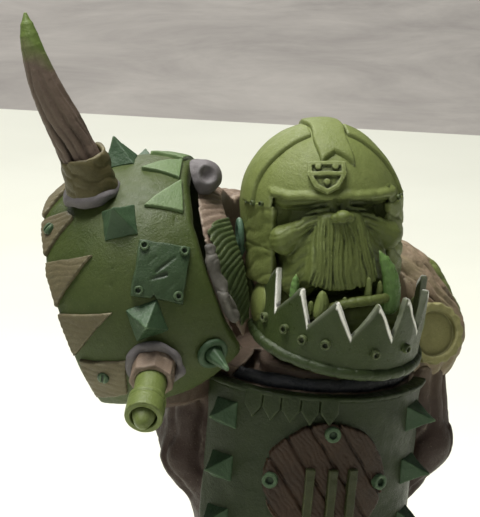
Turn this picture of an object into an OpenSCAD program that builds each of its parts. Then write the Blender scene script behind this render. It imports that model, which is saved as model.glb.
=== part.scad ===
// Tabletop miniature in modelling putty: armoured brute bust on a turned plinth.
// Millimetres. +Z is up and the figure faces -Y. The origin is the centre of the
// plinth's underside.

/* [Plinth] */
// Radius of the plinth's foot
plinth_r = 17; // [15:0.5:22]
// Height of the plinth
plinth_h = 12; // [11:0.5:14]
// Radius of the wire that the bust turns on
turn_pin_r = 1.5; // [1.2:0.1:1.8]

/* [Chest] */
// Outer radius of the breastplate's curve
plate_r = 15; // [14.6:0.1:15.4]
// Thickness of the breastplate
plate_t = 1.2; // [0.9:0.1:1.4]
// Side lean of the chest, in degrees
chest_lean = 5; // [3:0.5:6]
// Radius of the round plaque
plaque_r = 8; // [7:0.25:8.5]
// Base width of a breastplate spike
plate_spike_w = 3.4; // [2.8:0.1:3.6]

/* [Head] */
// Outer radius of the helmet's dome
helmet_r = 10.3; // [10:0.1:10.5]
// Thickness of the helmet
helmet_t = 0.9; // [0.7:0.1:1.1]
// Outer radius of the jaw guard's foot
guard_r = 10.6; // [10.3:0.1:10.8]
// Height of the jaw guard's teeth
guard_h = 9.2; // [8.5:0.1:9.6]
// Thickness of the jaw guard
guard_t = 0.8; // [0.6:0.1:0.9]

/* [Shoulder shell] */
// Outer radius of the shoulder shell
shell_r = 17; // [16.8:0.1:17.2]
// Thickness of the shoulder shell
shell_t = 1.2; // [1:0.1:1.3]
// Base width of a shoulder spike
shell_spike_w = 4; // [3.4:0.1:4.2]
// Length of the short barrel
barrel_len = 10.5; // [9:0.5:11.5]

/* [Horn] */
// Length of the horn above its collar
horn_len = 22; // [18:0.5:23]
// Radius of the horn at its collar
horn_r = 2.5; // [2.2:0.1:2.7]

/* [Hidden] */
$fn = 64;
blend_fn = 28;
muscle_fn = 18;
eps = 0.01;
run_gap = 0.05;
part_gap = 0.15;
skin_gap = 0.05;

waist_z = 17;
waist_r = 10.5;
chest_axis = [0, 1];
chest_top_z = 42;
plate_bottom_z = 22;
plate_half_angle = 68;
chest_r = plate_r - plate_t;

neck_axis = [0.5, -3.5];
neck_seat_z = 45;
neck_r = 6.5;
neck_pin_r = 1;
neck_pin_top = 56;
head_clear_r = 12.4;

helmet_centre = [0.5, -5, 65.2];
helmet_edge_z = 66.5;
helmet_back_z = 57;
brim_z = 69;
face_plane_y = -11.2;
mouth_z = 56.6;
skull_r = helmet_r - helmet_t;

guard_centre = [1.3, -9, 49];
guard_pitch = 9;
guard_roll = 10;
guard_taper = 0.5;
guard_half_angle = 100;
guard_valley = 4.7;
cheek_bottom_z = 57.2;
boss_z = 3;

seat_x = 13.9;
seat_y = 4;
seat_z = 45.2;
seat_yaw = 13;
seat_pitch = 78;

shell_centre = [-20, 2, 53.5];
shell_yaw = -19;
shell_tilt = 70;
inner_lat = 37;
outer_lat = -31;
shell_start = 52;
shell_sweep = 260;
stump_r = shell_r - shell_t - 0.4;
shoulder_pin_r = 1.2;
shoulder_pin_top = 5.8;
hub_top = -3;
stump_bottom = hub_top + part_gap;
shell_clear_r = shell_r + 2.2;

barrel_az = 290;
barrel_lat = 3;
barrel_lean = 6;
horn_az = 207;
horn_lat = -3;
horn_turn = 238;
horn_back_tilt = 21;

// ---------- frames ----------

module chest_frame() {
    translate([chest_axis[0], chest_axis[1], chest_top_z])
        rotate([0, chest_lean, 0])
            translate([0, 0, -chest_top_z])
                children();
}

module guard_frame() {
    translate(guard_centre)
        rotate([guard_pitch, guard_roll, 0])
            children();
}

module shell_frame() {
    translate(shell_centre)
        rotate([0, 0, shell_yaw])
            rotate([0, shell_tilt, 0])
                children();
}

// Puts a child on a sphere about the current origin, with its +Z outward.
module on_sphere(az, lat, r) {
    rotate([0, 0, az])
        rotate([0, 90 - lat, 0])
            translate([0, 0, r])
                children();
}

// Puts a child on the chest's cylinder: +Z outward, +Y up.
module on_chest(angle, z, r) {
    rotate([0, 0, angle])
        translate([0, -r, z])
            rotate([90, 0, 0])
                children();
}

module horn_frame() {
    shell_frame()
        on_sphere(horn_az, horn_lat, shell_r)
            rotate([0, 0, horn_turn])
                rotate([0, horn_back_tilt, 0])
                    children();
}

// ---------- repeated shapes ----------

module ring(r_out, r_in, h) {
    difference() {
        cylinder(r = r_out, h = h);
        translate([0, 0, -eps])
            cylinder(r = r_in, h = h + 2 * eps);
    }
}

// Part of a tube wall between two angles measured from -Y.
module wall_sector(r_out, r_in, z0, z1, from_angle, to_angle) {
    rotate([0, 0, from_angle - 90])
        rotate_extrude(angle = to_angle - from_angle, $fn = 96)
            translate([r_in, z0])
                square([r_out - r_in, z1 - z0]);
}

module square_spike(w, h, sink) {
    union() {
        translate([0, 0, -sink])
            linear_extrude(height = sink + 0.25)
                square(w, center = true);
        translate([0, 0, 0.25])
            rotate([0, 0, 45])
                cylinder(r1 = w / sqrt(2), r2 = 0.15, h = h - 0.25, $fn = 4);
    }
}

module ring_rivet(r, h) {
    difference() {
        cylinder(r = r, h = h, $fn = 32);
        translate([0, 0, h * 0.35])
            cylinder(r = r * 0.5, h = h, $fn = 32);
    }
}

module slotted_screw(r, h) {
    difference() {
        intersection() {
            cylinder(r = r, h = h, $fn = 32);
            translate([0, 0, h - 2 * r])
                sphere(r = 2 * r, $fn = 48);
        }
        translate([-r, -0.15, h - 0.35])
            cube([2 * r, 0.3, 1]);
    }
}

module shell_layer(r_in, r_out) {
    difference() {
        sphere(r = r_out, $fn = 96);
        sphere(r = r_in, $fn = 96);
    }
}

// Slab of the shoulder shell's frame between two latitudes of its outer sphere.
module shell_zone(lat0, lat1) {
    z0 = shell_r * sin(lat0);
    z1 = shell_r * sin(lat1);
    translate([0, 0, z0])
        cylinder(r = shell_r + 6, h = z1 - z0);
}

module shell_sector(start, sweep) {
    rotate([0, 0, start])
        rotate_extrude(angle = sweep, $fn = 96)
            translate([0, -shell_r - 4])
                square([shell_r + 6, 2 * shell_r + 8]);
}

// Flat trim plate laid on the shoulder shell as a skin 'lift' thick.
module shell_plate(az, lat, lift) {
    intersection() {
        shell_layer(shell_r, shell_r + lift);
        on_sphere(az, lat, shell_r - 3)
            linear_extrude(height = 6)
                children();
    }
}

// ---------- plinth ----------

module plinth() {
    color("saddlebrown")
        difference() {
            rotate_extrude()
                polygon([
                    [0, 0], [plinth_r, 0], [plinth_r, 2.4], [plinth_r - 1.2, 3.4],
                    [plinth_r - 4.2, 4.6], [plinth_r - 5.2, 7], [plinth_r - 5.2, 9],
                    [plinth_r - 3.4, 10.2], [plinth_r - 3.4, plinth_h], [0, plinth_h]
                ]);
            translate([0, 0, 4])
                cylinder(r = turn_pin_r, h = plinth_h);
        }
}

module turn_pin() {
    color("silver")
        translate([0, 0, 4])
            cylinder(r = turn_pin_r, h = waist_z + 9 - 4);
}

// ---------- torso ----------

// The chest's core, or with 'gap' the room for it in what lies on it.
module chest_barrel(gap) {
    chest_frame()
        union() {
            translate([0, 0, 24])
                cylinder(r = chest_r + gap, h = chest_top_z - 24 + 0.6 + gap, $fn = 96);
            translate([0, 0, waist_z - 3])
                cylinder(r1 = waist_r + gap, r2 = chest_r + gap, h = 27 - waist_z, $fn = 96);
        }
}

module neck_root(gap) {
    translate([neck_axis[0], neck_axis[1], chest_top_z - 4])
        cylinder(r = neck_r + 1 + gap, h = neck_seat_z - chest_top_z + 4 - part_gap + gap);
}

// The chest up to the top of its collar, as room for the shoulder masses.
module collar_room() {
    chest_frame()
        translate([0, 0, 24])
            cylinder(r = chest_r + skin_gap, h = chest_top_z - 24 + 2.6, $fn = 96);
}

// One strand of side muscle, from the waist to the armpit.
module flank_strand(side, out, i) {
    hull() {
        translate([side * 8.4, 2 + i, 22.5])
            sphere(r = 4.2, $fn = muscle_fn);
        translate([side * (out - 4.6), 1.6 + 2.4 * i, 31 + 1.4 * i])
            sphere(r = 4.4, $fn = muscle_fn);
        translate([side * (out - 6.4), 2 + 1.4 * i, 41])
            sphere(r = 5.2, $fn = muscle_fn);
    }
}

// One strand of the upper back, from the spine to the shoulder line.
module back_strand(x) {
    hull() {
        translate([x * 0.6, 6.5, 33])
            sphere(r = 6.6, $fn = muscle_fn);
        translate([x, 7.6, 57 - (x + 9) * 0.38])
            sphere(r = 7.4, $fn = muscle_fn);
    }
}

module back_mass() {
    for (i = [0 : 7])
        back_strand(-9.4 + i * 2.8);
}

// Everything that the breastplate and what is on it fill, in the chest frame.
module breastplate_room() {
    chest_frame()
        wall_sector(plate_r + 8, chest_r, 14, 47, -plate_half_angle - 0.01, plate_half_angle + 0.01);
}

module head_room() {
    translate([neck_axis[0], neck_axis[1], neck_seat_z])
        cylinder(r = head_clear_r, h = 50, $fn = 96);
}

// Room for the shoulder shell as it swings.
module shell_room() {
    shell_frame()
        union() {
            intersection() {
                sphere(r = shell_clear_r, $fn = 96);
                translate([0, 0, -shell_r - 4])
                    cylinder(r = shell_r + 6, h = shell_r + 4 + shell_r * sin(inner_lat) + 0.4);
                shell_sector(shell_start - 9, shell_sweep + 18);
            }
            translate([0, 0, -8.4])
                cylinder(r = 7.4, h = 8.4 + stump_bottom);
        }
}

module stump_solid(gap) {
    shell_frame()
        intersection() {
            sphere(r = stump_r + gap, $fn = 96);
            translate([0, 0, stump_bottom - gap])
                cylinder(r = stump_r + 1, h = 2 * stump_r);
        }
}

module deltoid_mass() {
    hull() {
        translate([11.6, 5.4, 50.6])
            sphere(r = 6.8, $fn = blend_fn);
        translate([seat_x, seat_y, seat_z])
            sphere(r = 7.8, $fn = blend_fn);
    }
}

module seat_frame() {
    translate([seat_x, seat_y, seat_z])
        rotate([0, 0, seat_yaw])
            rotate([seat_pitch, 0, 0])
                children();
}

module torso_core() {
    color("rosybrown")
        difference() {
            union() {
                chest_barrel(0);
                neck_root(0);
            }
            translate([-20, -20, waist_z - 10])
                cube([40, 40, 10]);
            translate([0, 0, waist_z - 1])
                cylinder(r = turn_pin_r + run_gap, h = 10 + part_gap);
            translate([neck_axis[0], neck_axis[1], 34])
                cylinder(r = neck_pin_r, h = 30);
        }
}

module back_muscles() {
    color("rosybrown")
        difference() {
            back_mass();
            chest_barrel(skin_gap);
            breastplate_room();
            collar_room();
            head_room();
            stump_solid(skin_gap);
            shell_room();
            deltoid_mass();
            neck_root(skin_gap);
        }
}

module flank_muscles() {
    color("rosybrown")
        difference() {
            for (i = [0 : 3]) {
                flank_strand(-1, 19, i);
                flank_strand(1, 20, i);
            }
            chest_barrel(skin_gap);
            breastplate_room();
            collar_room();
            head_room();
            stump_solid(skin_gap);
            shell_room();
            deltoid_mass();
            back_mass();
            translate([-30, -30, waist_z - 10])
                cube([60, 60, 10]);
        }
}

module left_deltoid() {
    color("tan")
        difference() {
            deltoid_mass();
            chest_barrel(skin_gap);
            collar_room();
            breastplate_room();
            head_room();
            seat_frame()
                translate([0, 0, 6.9])
                    cylinder(r = 3.6, h = 6);
        }
}

module arm_seat() {
    color("darkkhaki")
        seat_frame()
            difference() {
                translate([0, 0, 6.9])
                    cylinder(r = 3.6, h = 2);
                translate([0, 0, 7.9])
                    cylinder(r = 2.6, h = 2);
            }
}

module deltoid_patch() {
    color("olivedrab")
        difference() {
            hull() {
                translate([15.2, 7.6, 50.6])
                    sphere(r = 4.2, $fn = blend_fn);
                translate([17.6, 6.4, 45.6])
                    sphere(r = 4, $fn = blend_fn);
            }
            deltoid_mass();
            back_mass();
        }
}

module shoulder_stump() {
    color("rosybrown")
        difference() {
            stump_solid(0);
            chest_barrel(0);
            head_room();
            breastplate_room();
            shell_frame()
                translate([0, 0, stump_bottom - 1])
                    cylinder(r = shoulder_pin_r, h = shoulder_pin_top - stump_bottom + 1);
        }
}

module neck_collar() {
    color("darkslategray")
        difference() {
            chest_frame()
                translate([0, 0, chest_top_z + 0.6])
                    difference() {
                        rotate_extrude($fn = 96)
                            polygon([
                                [12.1, 0], [chest_r - 0.3, 0], [chest_r - 0.3, 0.9],
                                [12.5, 1.9], [12.1, 1.9]
                            ]);
                        translate([-20, 5, -1])
                            cube([40, 20, 6]);
                    }
            stump_solid(skin_gap);
        }
}

module neck_guard() {
    color("darkolivegreen")
        difference() {
            shell_frame()
                intersection() {
                    shell_layer(stump_r, stump_r + 0.6);
                    translate([0, 0, 12.8])
                        cylinder(r = stump_r, h = stump_r);
                    shell_sector(150, 150);
                }
            head_room();
            shell_frame()
                tack_ball_body(skin_gap);
        }
}

module breastplate() {
    color("darkolivegreen")
        chest_frame()
            wall_sector(plate_r, chest_r, plate_bottom_z, chest_top_z,
                -plate_half_angle, plate_half_angle);
}

module breastplate_rim() {
    color("seagreen")
        chest_frame()
            rotate([0, 0, -plate_half_angle - 90])
                rotate_extrude(angle = 2 * plate_half_angle, $fn = 96)
                    translate([chest_r, chest_top_z])
                        square([plate_t + 0.6, 0.6]);
}

module plate_fringe() {
    tooth_count = 5;
    pitch = 9;
    color("seagreen")
        chest_frame()
            intersection() {
                wall_sector(plate_r + 0.45, plate_r, 36, chest_top_z, -50, 12);
                union() {
                    for (i = [0 : tooth_count - 1])
                        on_chest(-38 + i * pitch, chest_top_z, plate_r - 2)
                            linear_extrude(height = 6)
                                polygon([[-1.15, 1], [1.15, 1], [1.15, -0.8], [0.1, -2.6], [-1.15, -0.8]]);
                }
            }
}

module plate_spike_column(angle, top_z) {
    for (i = [0 : 2])
        chest_frame()
            difference() {
                on_chest(angle, top_z - i * 7.1, plate_r)
                    square_spike(plate_spike_w, 3.3, 0.6);
                translate([0, 0, 10])
                    cylinder(r = plate_r, h = 40, $fn = 96);
            }
}

module plate_spikes_right() {
    color("seagreen")
        plate_spike_column(-54, 38.4);
}

module plate_spikes_left() {
    color("seagreen")
        plate_spike_column(54, 38.4);
}

module plaque() {
    color("sienna")
        chest_frame()
            intersection() {
                translate([0, 0, 10])
                    ring(plate_r + 0.9, plate_r, 40);
                on_chest(0, 31.4, 8)
                    cylinder(r = plaque_r, h = 12);
            }
}

// Places a child on the face of the plaque, x across and y up from its centre.
module on_plaque(x, y) {
    chest_frame()
        on_chest(asin(x / plate_r), 31.4 + y, plate_r + 0.9)
            children();
}

module plaque_rivets() {
    color("seagreen")
        for (turn = [90, 180, 0])
            on_plaque(6.6 * cos(turn), 6.6 * sin(turn))
                ring_rivet(1, 0.6);
}

module plaque_bars() {
    color("olive")
        for (x = [-2.2, 0.4, 3])
            on_plaque(x, -1.2)
                translate([-0.6, -3.2, 0])
                    cube([1.2, 6.4, 0.6]);
}

module neck_pin() {
    color("silver")
        translate([neck_axis[0], neck_axis[1], 34])
            cylinder(r = neck_pin_r, h = neck_pin_top - 34);
}

module shoulder_pin() {
    color("silver")
        shell_frame()
            translate([0, 0, -6.6])
                cylinder(r = shoulder_pin_r, h = 6.6 + shoulder_pin_top);
}

module tack_ball_body(gap) {
    on_sphere(190, 46, 16.6)
        sphere(r = 2.5 + gap);
}

// The ball is flat below, where the shell's inner edge swings past.
module tack_ball() {
    color("darkgray")
        shell_frame()
            difference() {
                tack_ball_body(0);
                sphere(r = stump_r, $fn = 96);
                translate([0, 0, shell_r * sin(inner_lat) - 20])
                    cylinder(r = 30, h = 20.4);
            }
}

module tack_roll() {
    color("dimgray")
        shell_frame()
            difference() {
                rotate([0, 0, 242])
                    rotate_extrude(angle = 52, $fn = 96)
                        translate([11, 11.7])
                            circle(r = 0.95, $fn = 24);
                sphere(r = stump_r, $fn = 96);
            }
}

// ---------- head ----------

module head_core() {
    color("darkolivegreen")
        difference() {
            union() {
                translate(helmet_centre)
                    sphere(r = skull_r, $fn = 96);
                translate([neck_axis[0], neck_axis[1], neck_seat_z])
                    cylinder(r = neck_r, h = helmet_back_z - neck_seat_z);
            }
            translate([-20, face_plane_y - 20, 40])
                cube([40, 20, 50]);
            translate([neck_axis[0], neck_axis[1], neck_seat_z - 1])
                cylinder(r = neck_pin_r + run_gap, h = neck_pin_top - neck_seat_z + 1.3);
        }
}

module face() {
    color("yellowgreen")
        difference() {
            hull() {
                translate([0.5, -12, 60.4])
                    sphere(r = 5.2, $fn = blend_fn);
                translate([-4.4, -12.2, 64.2])
                    sphere(r = 2.4, $fn = blend_fn);
                translate([5.4, -12.2, 64.2])
                    sphere(r = 2.4, $fn = blend_fn);
                translate([0.5, -12.2, 66])
                    sphere(r = 3, $fn = blend_fn);
            }
            translate([-20, face_plane_y, 40])
                cube([40, 30, 50]);
            translate([-20, -30, mouth_z - 10])
                cube([40, 30, 10]);
        }
}

module lower_jaw() {
    color("olive")
        difference() {
            hull() {
                translate([-2.6, -13, 52.4])
                    sphere(r = 3.8, $fn = blend_fn);
                translate([4.2, -13, 52])
                    sphere(r = 3.8, $fn = blend_fn);
                translate([0.8, -13.2, 50.4])
                    sphere(r = 3.4, $fn = blend_fn);
            }
            translate([-20, face_plane_y, 40])
                cube([40, 30, 50]);
            translate([-20, -30, mouth_z - 0.9])
                cube([40, 30, 10]);
            tusk_cones(skin_gap);
        }
}

module tusk_cones(gap) {
    translate([6.4, -15, mouth_z - 2.4 - gap])
        rotate([4, -4, 0])
            cylinder(r1 = 1.2 + gap, r2 = 0.3 + gap, h = 7.4);
    translate([-4.7, -14.8, mouth_z - 2.2 - gap])
        rotate([4, 4, 0])
            cylinder(r1 = 0.8 + gap, r2 = 0.25 + gap, h = 4.2);
}

module tusks() {
    color("limegreen")
        tusk_cones(0);
}

module teeth() {
    color("khaki")
        for (x = [-2.6, 2.8])
            translate([x, -15.2, mouth_z - 0.9])
                cylinder(r1 = 0.5, r2 = 0.15, h = 0.9, $fn = 24);
}

// Dome of the helmet above its side plates and round the back of the head.
module helmet_shell() {
    color("yellowgreen")
        translate(helmet_centre)
            difference() {
                sphere(r = helmet_r, $fn = 96);
                sphere(r = skull_r, $fn = 96);
                translate([-20, -20, helmet_back_z - helmet_centre[2] - 20])
                    cube([40, 40, 20]);
                translate([-20, -20, -20])
                    cube([40, 23, 20 + helmet_edge_z - helmet_centre[2]]);
                translate([-7.6, -20, -10])
                    cube([15.2, 18, 10 + brim_z - helmet_centre[2]]);
            }
}

module helmet_skin(lift) {
    translate(helmet_centre)
        shell_layer(helmet_r, helmet_r + lift);
}

module crest_band() {
    color("olivedrab")
        intersection() {
            helmet_skin(0.45);
            translate([helmet_centre[0] - 2.2, -11.6, brim_z + 3])
                cube([4.4, 17, 20]);
        }
}

module ear_band() {
    color("olivedrab")
        difference() {
            intersection() {
                helmet_skin(0.4);
                translate([-20, -8.6, helmet_edge_z + 0.2])
                    cube([40, 2.6, 20]);
            }
            translate([helmet_centre[0] - 2.2, -20, 60])
                cube([4.4, 40, 20]);
        }
}

module brow_badge() {
    color("olivedrab")
        intersection() {
            helmet_skin(0.6);
            translate(helmet_centre)
                rotate([0, 0, -10])
                    rotate([56, 0, 0])
                        cylinder(r = 2.5, h = 14, $fn = 8);
        }
}

// Curved side plates below the dome, cut away where the jaw guard passes in front.
module cheek_guards() {
    edge_z = helmet_edge_z - eps;
    color("darkolivegreen")
        difference() {
            translate([helmet_centre[0], helmet_centre[1], 0])
                union() {
                    wall_sector(helmet_r - 0.1, skull_r + eps, cheek_bottom_z, edge_z, -100, -53);
                    wall_sector(helmet_r - 0.1, skull_r + eps, cheek_bottom_z, edge_z, 53, 100);
                }
            guard_frame()
                guard_cone(skin_gap);
        }
}

module helmet_rivets() {
    color("olive")
        for (side = [-1, 1])
            for (lat = [14, 22])
                translate(helmet_centre)
                    on_sphere(-90 + side * 72, lat, helmet_r + 0.4)
                        cylinder(r = 0.4, h = 0.3, $fn = 24);
}

module strap_loop() {
    color("seagreen")
        translate([helmet_centre[0] - helmet_r - 0.5, -5.4, 61.6])
            rotate([0, 90, 0])
                rotate_extrude()
                    translate([1.1, 0])
                        circle(r = 0.45, $fn = 24);
}

// Solid that the jaw guard's outer face wraps.
module guard_cone(gap) {
    cylinder(r1 = guard_r + gap, r2 = guard_r - guard_taper + gap, h = guard_h, $fn = 96);
}

module guard_bosses() {
    color("olive")
        guard_frame()
            difference() {
                for (side = [-1, 1])
                    translate([side * (guard_r - 1.2), 1.2, boss_z])
                        rotate([0, side * 90, 0])
                            intersection() {
                                cylinder(r = 2.8, h = 1.9);
                                translate([0, 0, -3.6])
                                    sphere(r = 5.5);
                            }
                guard_cone(0);
            }
}

module guard_wall() {
    difference() {
        guard_cone(0);
        translate([0, 0, -eps])
            cylinder(r1 = guard_r - guard_t, r2 = guard_r - guard_t - guard_taper, h = guard_h + 2 * eps, $fn = 96);
        rotate([0, 0, guard_half_angle - 90])
            rotate_extrude(angle = 360 - 2 * guard_half_angle)
                translate([1, -1])
                    square([20, guard_h + 2]);
    }
}

// Saw-tooth notches: each tooth rises slowly and drops steeply.
module jaw_guard() {
    tooth_pitch = 30;
    notch_w = 5.2;
    color("darkslategray")
        guard_frame()
            difference() {
                guard_wall();
                for (i = [0 : 6])
                    rotate([0, 0, -96 + i * tooth_pitch])
                        translate([0, -guard_r + 3, 0])
                            rotate([90, 0, 0])
                                linear_extrude(height = 6)
                                    polygon([[-2, guard_h + 1], [0, guard_valley], [notch_w - 1.4, guard_h + 1]]);
            }
}

module jaw_guard_rim() {
    color("darkgreen")
        guard_frame()
            rotate([0, 0, -guard_half_angle - 90])
                rotate_extrude(angle = 2 * guard_half_angle, $fn = 96)
                    translate([guard_r - 0.6, -1.1])
                        square([1, 1.1]);
}

module jaw_guard_rivets() {
    color("olive")
        guard_frame()
            difference() {
                for (angle = [-75, -53, -38, -22, 13, 40])
                    rotate([0, 0, angle])
                        translate([0, -guard_r + 0.4, 2.2])
                            rotate([90, 0, 0])
                                ring_rivet(0.65, 0.8);
                guard_cone(0);
            }
}

// ---------- shoulder shell ----------

module shoulder_shell() {
    color("olivedrab")
        difference() {
            shell_frame()
                intersection() {
                    shell_layer(shell_r - shell_t, shell_r);
                    shell_zone(outer_lat, inner_lat);
                    shell_sector(shell_start, shell_sweep);
                }
            horn_frame()
                translate([0, 0, -4])
                    cylinder(r = 1.2 + run_gap, h = 8);
        }
}

module shell_hub() {
    color("rosybrown")
        shell_frame()
            difference() {
                intersection() {
                    sphere(r = shell_r - shell_t, $fn = 96);
                    translate([0, 0, -8])
                        cylinder(r = shell_r, h = 8 + hub_top);
                    union() {
                        cylinder(r = 7, h = 40, center = true);
                        shell_sector(shell_start, shell_sweep);
                    }
                }
                translate([0, 0, -9])
                    cylinder(r = shoulder_pin_r + run_gap, h = 12);
            }
}

// Dagger plates along the outer rim, points inward.
module outer_trim() {
    color("rosybrown")
        difference() {
            shell_frame()
                for (i = [0 : 9])
                    shell_plate(292 - i * 25.2, -22, 0.5)
                        polygon([[2.5, 2.8], [2.5, -2.8], [-4.7, -1.1]]);
            horn_frame()
                translate([0, 0, -4])
                    cylinder(r = 3.5 + skin_gap, h = 8);
            barrel_frame()
                translate([0, 0, -4])
                    cylinder(r = 3.6 + skin_gap, h = 8);
        }
}

module inner_trim() {
    color("mediumseagreen")
        shell_frame()
            for (i = [0 : 6])
                shell_plate(215 - i * 24.5, 28, 0.5)
                    polygon([[-1.9, 2.9], [-1.9, -2.9], [3, 1.6]]);
}

module trim_screws() {
    color("seagreen")
        shell_frame()
            for (spot = [[215, -25], [290, -20]])
                on_sphere(spot[0], spot[1], shell_r + 0.5)
                    rotate([0, 0, 30])
                        slotted_screw(0.75, 0.55);
}

module shell_spikes() {
    color("seagreen")
        shell_frame()
            difference() {
                for (i = [0 : 4])
                    on_sphere(270.5 - i * 44, 7, shell_r)
                        square_spike(shell_spike_w, 3.4, 0.6);
                sphere(r = shell_r, $fn = 96);
            }
}

module patch_plate() {
    color("darkseagreen")
        shell_frame()
            shell_plate(252.5, 19, 0.7)
                rotate([0, 0, -24])
                    square([6.4, 7], center = true);
}

module patch_rivets() {
    color("seagreen")
        shell_frame()
            for (u = [-8, 8])
                for (v = [-9, 9])
                    on_sphere(252.5, 19, 0)
                        rotate([0, 0, -24])
                            rotate([v, u, 0])
                                translate([0, 0, shell_r + 0.7])
                                    ring_rivet(0.6, 0.4);
}

module barrel_frame() {
    shell_frame()
        on_sphere(barrel_az, barrel_lat, shell_r)
            rotate([0, barrel_lean, 0])
                children();
}

module barrel_tack() {
    color("dimgray")
        difference() {
            barrel_frame()
                translate([0, 0, -1.4])
                    ring(3.6, 2.7, 2.4);
            translate(shell_centre)
                sphere(r = shell_r, $fn = 96);
        }
}

module barrel_cuff() {
    color("tan")
        difference() {
            barrel_frame()
                translate([0, 0, -1.4])
                    difference() {
                        cylinder(r = 2.7, h = 5.2, $fn = 64);
                        translate([0, 0, -eps])
                            cylinder(r = 2, h = 6);
                    }
            translate(shell_centre)
                sphere(r = shell_r, $fn = 96);
        }
}

module barrel_tube() {
    color("yellowgreen")
        difference() {
            barrel_frame()
                difference() {
                    union() {
                        translate([0, 0, -1.4])
                            cylinder(r = 2, h = barrel_len + 1.4);
                        translate([0, 0, barrel_len - 3.6])
                            cylinder(r = 2.4, h = 3.6);
                    }
                    translate([0, 0, barrel_len - 3.4])
                        cylinder(r = 1.6, h = 4);
                }
            translate(shell_centre)
                sphere(r = shell_r, $fn = 96);
        }
}

module barrel_round() {
    color("khaki")
        barrel_frame()
            translate([0, 0, barrel_len - 3.4])
                union() {
                    cylinder(r = 1.6, h = 1.6);
                    translate([0, 0, 1.6])
                        cylinder(r1 = 1.6, r2 = 0.3, h = 2.4);
                }
}

module thorn_frame() {
    shell_frame()
        on_sphere(298, 26, shell_r)
            children();
}

module thorn_ring() {
    color("seagreen")
        thorn_frame()
            translate([0, 0, 0.35])
                rotate_extrude()
                    translate([1.6, 0])
                        circle(r = 0.4, $fn = 24);
}

module thorn() {
    color("mediumseagreen")
        difference() {
            thorn_frame()
                union() {
                    translate([0, 0, -0.8])
                        cylinder(r = 1.2, h = 1.8);
                    translate([0, 0, 1])
                        cylinder(r1 = 1.2, r2 = 0.2, h = 3.6);
                }
            translate(shell_centre)
                sphere(r = shell_r, $fn = 96);
        }
}

module horn_tack() {
    color("darkgray")
        difference() {
            horn_frame()
                translate([0, 0, -3])
                    ring(3.5, 1.2 + run_gap, 4.2);
            translate(shell_centre)
                sphere(r = shell_r, $fn = 96);
        }
}

// ---------- horn ----------

module horn_collar() {
    color("tan")
        horn_frame()
            difference() {
                translate([0, 0, 1.2 + part_gap])
                    cylinder(r1 = 3.3, r2 = 3, h = 5);
                translate([0, 0, 1])
                    cylinder(r = 1.2, h = 1.6);
            }
}

// Points along the horn's centre line: it leans forward of its collar and curls back.
function horn_point(t) = [7.2 * pow(t, 3) - 6.3 * pow(t, 2), 0.2 * horn_len * t, 2.6 + horn_len * t];

function horn_radius(t) = horn_r * sqrt(max(0.015, 1 - pow(t, 1.8)));

module horn() {
    steps = 8;
    color("dimgray")
        horn_frame()
            for (i = [0 : steps - 1])
                hull() {
                    translate(horn_point(i / steps))
                        cylinder(r = horn_radius(i / steps), h = 0.1, $fn = blend_fn);
                    translate(horn_point((i + 1) / steps))
                        cylinder(r = horn_radius((i + 1) / steps), h = 0.1, $fn = blend_fn);
                }
}

module horn_peg() {
    color("silver")
        horn_frame()
            translate([0, 0, -1])
                cylinder(r = 1.2, h = 3.6);
}

plinth();
turn_pin();
torso_core();
back_muscles();
flank_muscles();
left_deltoid();
deltoid_patch();
arm_seat();
shoulder_stump();
neck_collar();
neck_guard();
breastplate();
breastplate_rim();
plate_fringe();
plate_spikes_right();
plate_spikes_left();
plaque();
plaque_rivets();
plaque_bars();
neck_pin();
shoulder_pin();
tack_ball();
tack_roll();
head_core();
face();
lower_jaw();
tusks();
teeth();
helmet_shell();
crest_band();
ear_band();
brow_badge();
cheek_guards();
helmet_rivets();
strap_loop();
guard_bosses();
jaw_guard();
jaw_guard_rim();
jaw_guard_rivets();
shoulder_shell();
shell_hub();
outer_trim();
inner_trim();
trim_screws();
shell_spikes();
patch_plate();
patch_rivets();
barrel_tack();
barrel_cuff();
barrel_tube();
barrel_round();
thorn_ring();
thorn();
horn_tack();
horn_collar();
horn();
horn_peg();
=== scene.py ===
"""Looks of the putty bust. Every sculpted piece is a distance field, worked out in
millimetres around the CAD frame and meshed here; materials are node based."""
import math

import bpy
import numpy as np
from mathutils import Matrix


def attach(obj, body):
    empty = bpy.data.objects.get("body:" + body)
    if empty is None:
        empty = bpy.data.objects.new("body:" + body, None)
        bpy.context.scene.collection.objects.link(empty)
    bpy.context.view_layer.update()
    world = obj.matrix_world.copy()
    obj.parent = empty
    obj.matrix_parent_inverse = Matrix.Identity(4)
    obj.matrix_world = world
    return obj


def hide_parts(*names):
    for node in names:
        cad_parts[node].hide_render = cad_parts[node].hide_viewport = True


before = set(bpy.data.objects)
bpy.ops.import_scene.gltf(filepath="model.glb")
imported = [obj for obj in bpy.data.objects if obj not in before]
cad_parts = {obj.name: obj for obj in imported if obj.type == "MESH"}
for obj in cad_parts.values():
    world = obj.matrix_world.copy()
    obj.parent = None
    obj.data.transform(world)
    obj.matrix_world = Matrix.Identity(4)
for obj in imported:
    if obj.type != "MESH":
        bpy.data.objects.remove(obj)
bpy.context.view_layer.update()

import openvdb
from mathutils import Vector

MM = 0.001
FINE = 1.0


# ---------------------------------------------------------------- random field

LATTICE_N = 32
LATTICE = np.random.default_rng(11).uniform(-1, 1, (LATTICE_N,) * 3).astype(np.float32)


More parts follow.
